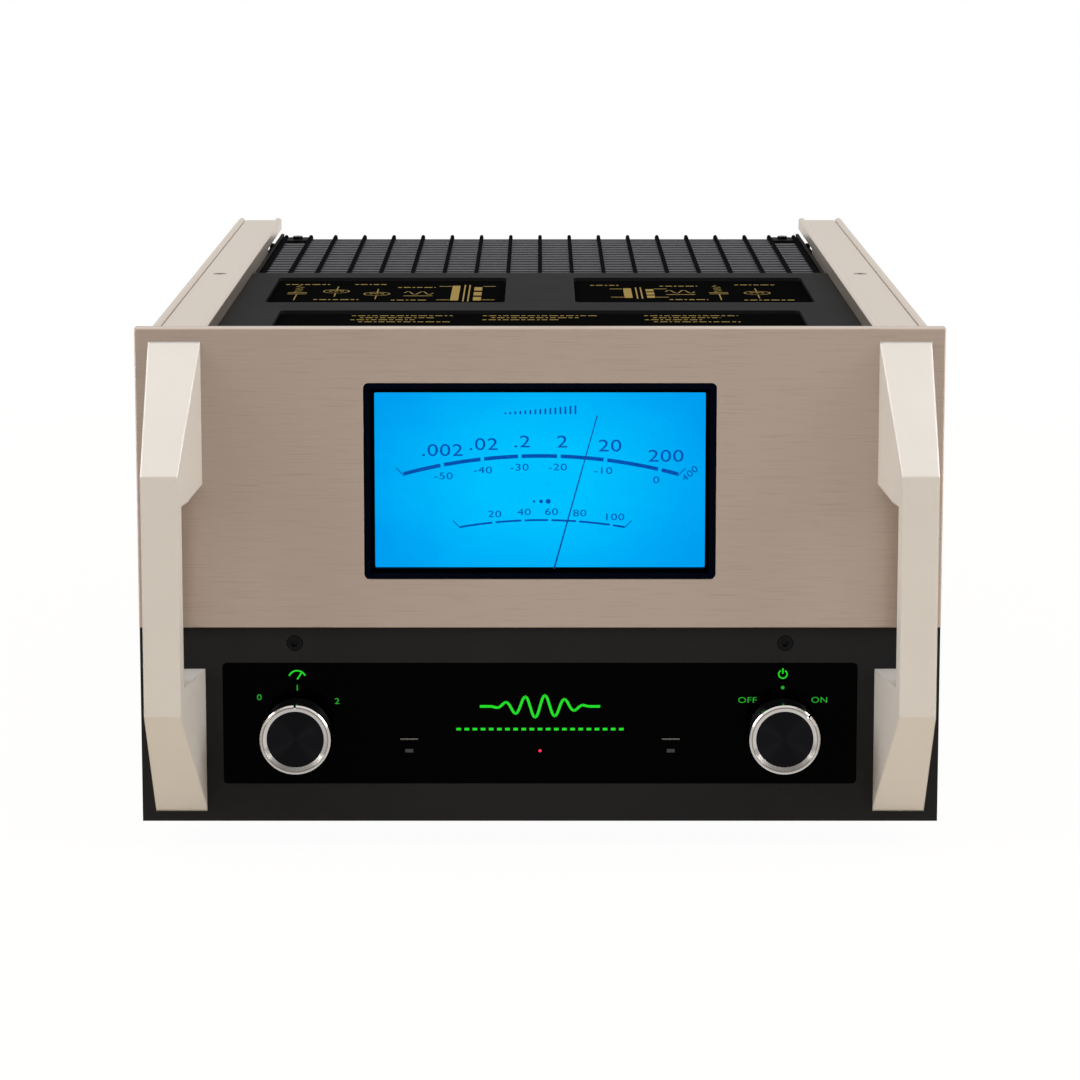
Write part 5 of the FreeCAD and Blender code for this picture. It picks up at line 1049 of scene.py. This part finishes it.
@dataclass(frozen=True)
class SoftBox:
    """A square lamp: where it stands, what it aims at, how large and how strong it is.

    Attributes:
        name: The lamp's name.
        place: Its middle in metres.
        size: Width and height in metres.
        radiance: How bright its face is, where 1 is a white that just clips.
        target: The point it aims at in metres.
    """

    name: str
    place: Place
    size: Point
    radiance: float
    target: Place = (0.0, 0.0, 0.15)

    def build(self) -> None:
        """Hang the lamp and aim it at the object."""
        lamp = bpy.data.lights.new(self.name, "AREA")
        lamp.shape, lamp.size, lamp.size_y = "RECTANGLE", *self.size
        lamp.energy = self.radiance * math.pi * self.size[0] * self.size[1]
        thing = bpy.data.objects.new(self.name, lamp)
        bpy.context.scene.collection.objects.link(thing)
        thing.location = self.place
        aim = Vector(self.target) - Vector(self.place)
        thing.rotation_euler = aim.to_track_quat("-Z", "Y").to_euler()


@dataclass
class Studio:
    """Camera, lamps, floor and background.

    The spans of the background are parts of a ray's way up or back, those of the floor metres.

    Attributes:
        eye: The camera's place in metres.
        tilt: Its tilt in degrees, 90 being level.
        lens: Focal length in millimetres, as is the sensor's width.
        shift: Upward shift of the frame.
        ambient: Strength of the background's plain light.
        rise: Strength of the background low down and high up.
        front: Its strength in front of the object.
        covered: Strength of the mirrored background above, where the overhead box hides it.
        paper: The floor's colour where light falls on it.
        shadowless: Share of plain white in the floor near the object; the rest takes the shadow.
        left: Strength of the mirrored floor at the left.
    """

    eye: Place = (0.0, -2.0482, 0.5620)
    tilt: float = 82.0
    lens: float = 108.29
    sensor: float = 36.0
    shift: float = -0.217
    lamps: tuple[SoftBox, ...] = (
        SoftBox("overhead_box", (0.0, -0.3, 1.9), (3.2, 2.6), 1.3),
        SoftBox("left_box", (-2.2, -0.75, 1.2), (1.2, 1.2), 11.0),
        SoftBox("right_box", (2.2, -0.75, 1.2), (1.2, 1.2), 11.0),
        SoftBox("left_card", (-1.3, -1.8, 0.4), (0.3, 0.6), 4.5),
        SoftBox("right_card", (1.3, -1.8, 0.4), (0.3, 0.6), 4.5),
    )
    ambient: float = 0.55
    rise: Point = (0.85, 1.15)
    rise_span: Point = (-0.1, 0.8)
    front: float = 0.2
    front_span: Point = (-0.95, -0.2)
    covered: float = 0.05
    covered_span: Point = (0.5, 0.85)
    floor_radius: float = 8.0
    paper: str = "#E2D0B4"
    shadowless: float = 0.97
    shadow_span: Point = (0.5, 1.6)
    left: float = 0.7
    left_span: Point = (-0.45, 0.0)

    def build(self) -> None:
        """Set up the whole studio."""
        bpy.context.scene.view_settings.view_transform = "Standard"
        self.place_camera()
        for lamp in self.lamps:
            lamp.build()
        self.make_world()
        self.lay_floor()

    def place_camera(self) -> None:
        """Put the camera where the photograph was taken from."""
        data = bpy.data.cameras.new("camera")
        data.lens, data.sensor_width, data.shift_y = self.lens, self.sensor, self.shift
        camera = bpy.data.objects.new("camera", data)
        camera.location = self.eye
        camera.rotation_euler = (math.radians(self.tilt), 0, 0)
        bpy.context.scene.collection.objects.link(camera)
        bpy.context.scene.camera = camera

    def make_world(self) -> None:
        """Make a white background that lights the object evenly, a little less from the front."""
        world = bpy.data.worlds.new("studio")
        bpy.context.scene.world = world
        world.use_nodes = True
        tree = world.node_tree
        tree.nodes.clear()
        way = add_node(tree, "TexCoord").outputs["Generated"]
        axes = add_node(tree, "SeparateXYZ", inputs={0: way})
        rays = add_node(tree, "LightPath")
        rise = add_node(tree, "MapRange", inputs={
            "Value": axes.outputs["Z"], "From Min": self.rise_span[0], "From Max": self.rise_span[1],
            "To Min": self.rise[0], "To Max": self.rise[1]})
        front = add_node(tree, "MapRange", inputs={
            "Value": axes.outputs["Y"], "From Min": self.front_span[0],
            "From Max": self.front_span[1], "To Min": self.front})
        both = add_node(tree, "Math", {"operation": "MULTIPLY"}, {
            0: rise.outputs[0], 1: front.outputs[0]}).outputs[0]
        covered = add_node(tree, "MapRange", inputs={
            "Value": axes.outputs["Z"], "From Min": self.covered_span[0],
            "From Max": self.covered_span[1], "To Min": 1.0, "To Max": self.covered})
        mirrored = add_node(tree, "Math", {"operation": "MULTIPLY"}, {
            0: both, 1: covered.outputs[0]}).outputs[0]
        soft = add_node(tree, "Math", {"operation": "MULTIPLY"}, {0: both, 1: self.ambient}).outputs[0]
        shine = add_node(tree, "Mix", inputs={
            FACTOR: rays.outputs["Is Glossy Ray"], NUMBER_A: soft, NUMBER_B: mirrored}).outputs[0]
        seen = add_node(tree, "Math", {"operation": "MAXIMUM"}, {
            0: rays.outputs["Is Camera Ray"], 1: rays.outputs["Is Transmission Ray"]}).outputs[0]
        strength = add_node(tree, "Mix", inputs={FACTOR: seen, NUMBER_A: shine, NUMBER_B: 1.0}).outputs[0]
        sky = add_node(tree, "Background", inputs={"Color": (1, 1, 1, 1), "Strength": strength})
        add_node(tree, "OutputWorld", inputs={"Surface": sky.outputs[0]})

    def lay_floor(self) -> None:
        """Lay a white floor that keeps the object's faint shadow and is mirrored dimmer at the left."""
        sheet = bmesh.new()
        bmesh.ops.create_circle(sheet, cap_ends=True, segments=64, radius=self.floor_radius)
        mesh = bpy.data.meshes.new("floor")
        sheet.to_mesh(mesh)
        sheet.free()
        floor = bpy.data.objects.new("floor", mesh)
        bpy.context.scene.collection.objects.link(floor)
        paper = bpy.data.materials.new("white paper floor")
        paper.use_nodes = True
        tree = paper.node_tree
        shader = tree.nodes["Principled BSDF"]
        shader.inputs["Base Color"].default_value = linear(self.paper)
        shader.inputs["Roughness"].default_value = 0.9
        shader.inputs["Specular IOR Level"].default_value = 0.0
        rays = add_node(tree, "LightPath")
        seen = rays.outputs["Is Camera Ray"]
        for name in ("Is Transmission Ray", "Is Glossy Ray"):
            seen = add_node(tree, "Math", {"operation": "MAXIMUM"}, {
                0: seen, 1: rays.outputs[name]}).outputs[0]
        place = add_node(tree, "TexCoord").outputs["Object"]
        away = add_node(tree, "VectorMath", {"operation": "LENGTH"}, {0: place}).outputs["Value"]
        fade = add_node(tree, "MapRange", inputs={
            "Value": away, "From Min": self.shadow_span[0], "From Max": self.shadow_span[1],
            "To Min": self.shadowless}).outputs[0]
        share = add_node(tree, "Math", {"operation": "MULTIPLY"}, {0: seen, 1: fade}).outputs[0]
        across = add_node(tree, "SeparateXYZ", inputs={0: place}).outputs["X"]
        side = add_node(tree, "MapRange", inputs={
            "Value": across, "From Min": self.left_span[0], "From Max": self.left_span[1],
            "To Min": self.left}).outputs[0]
        shine = add_node(tree, "Mix", inputs={
            FACTOR: rays.outputs["Is Glossy Ray"], NUMBER_A: 1.0, NUMBER_B: side}).outputs[0]
        light = add_node(tree, "Emission", inputs={"Color": (1, 1, 1, 1), "Strength": shine})
        mixed = add_node(tree, "MixShader", inputs={0: share, 1: shader.outputs[0], 2: light.outputs[0]})
        tree.links.new(mixed.outputs[0], tree.nodes["Material Output"].inputs["Surface"])
        mesh.materials.append(paper)


def main() -> None:
    """Build the studio and finish every group of pieces."""
    logging.basicConfig(level=logging.INFO, format="%(message)s")
    Studio().build()
    groups: tuple[SubAssembly, ...] = (
        Faceplate(), Meter(), ControlGlass(), Knob(body="meter_knob", name="meter"),
        Knob(body="power_knob", name="power"), HandlesAndRails(), TopCover(), TubeBay(),
        Interior(), RearPanel())
    for group in groups:
        group.build()


if __name__ == "__main__":
    main()
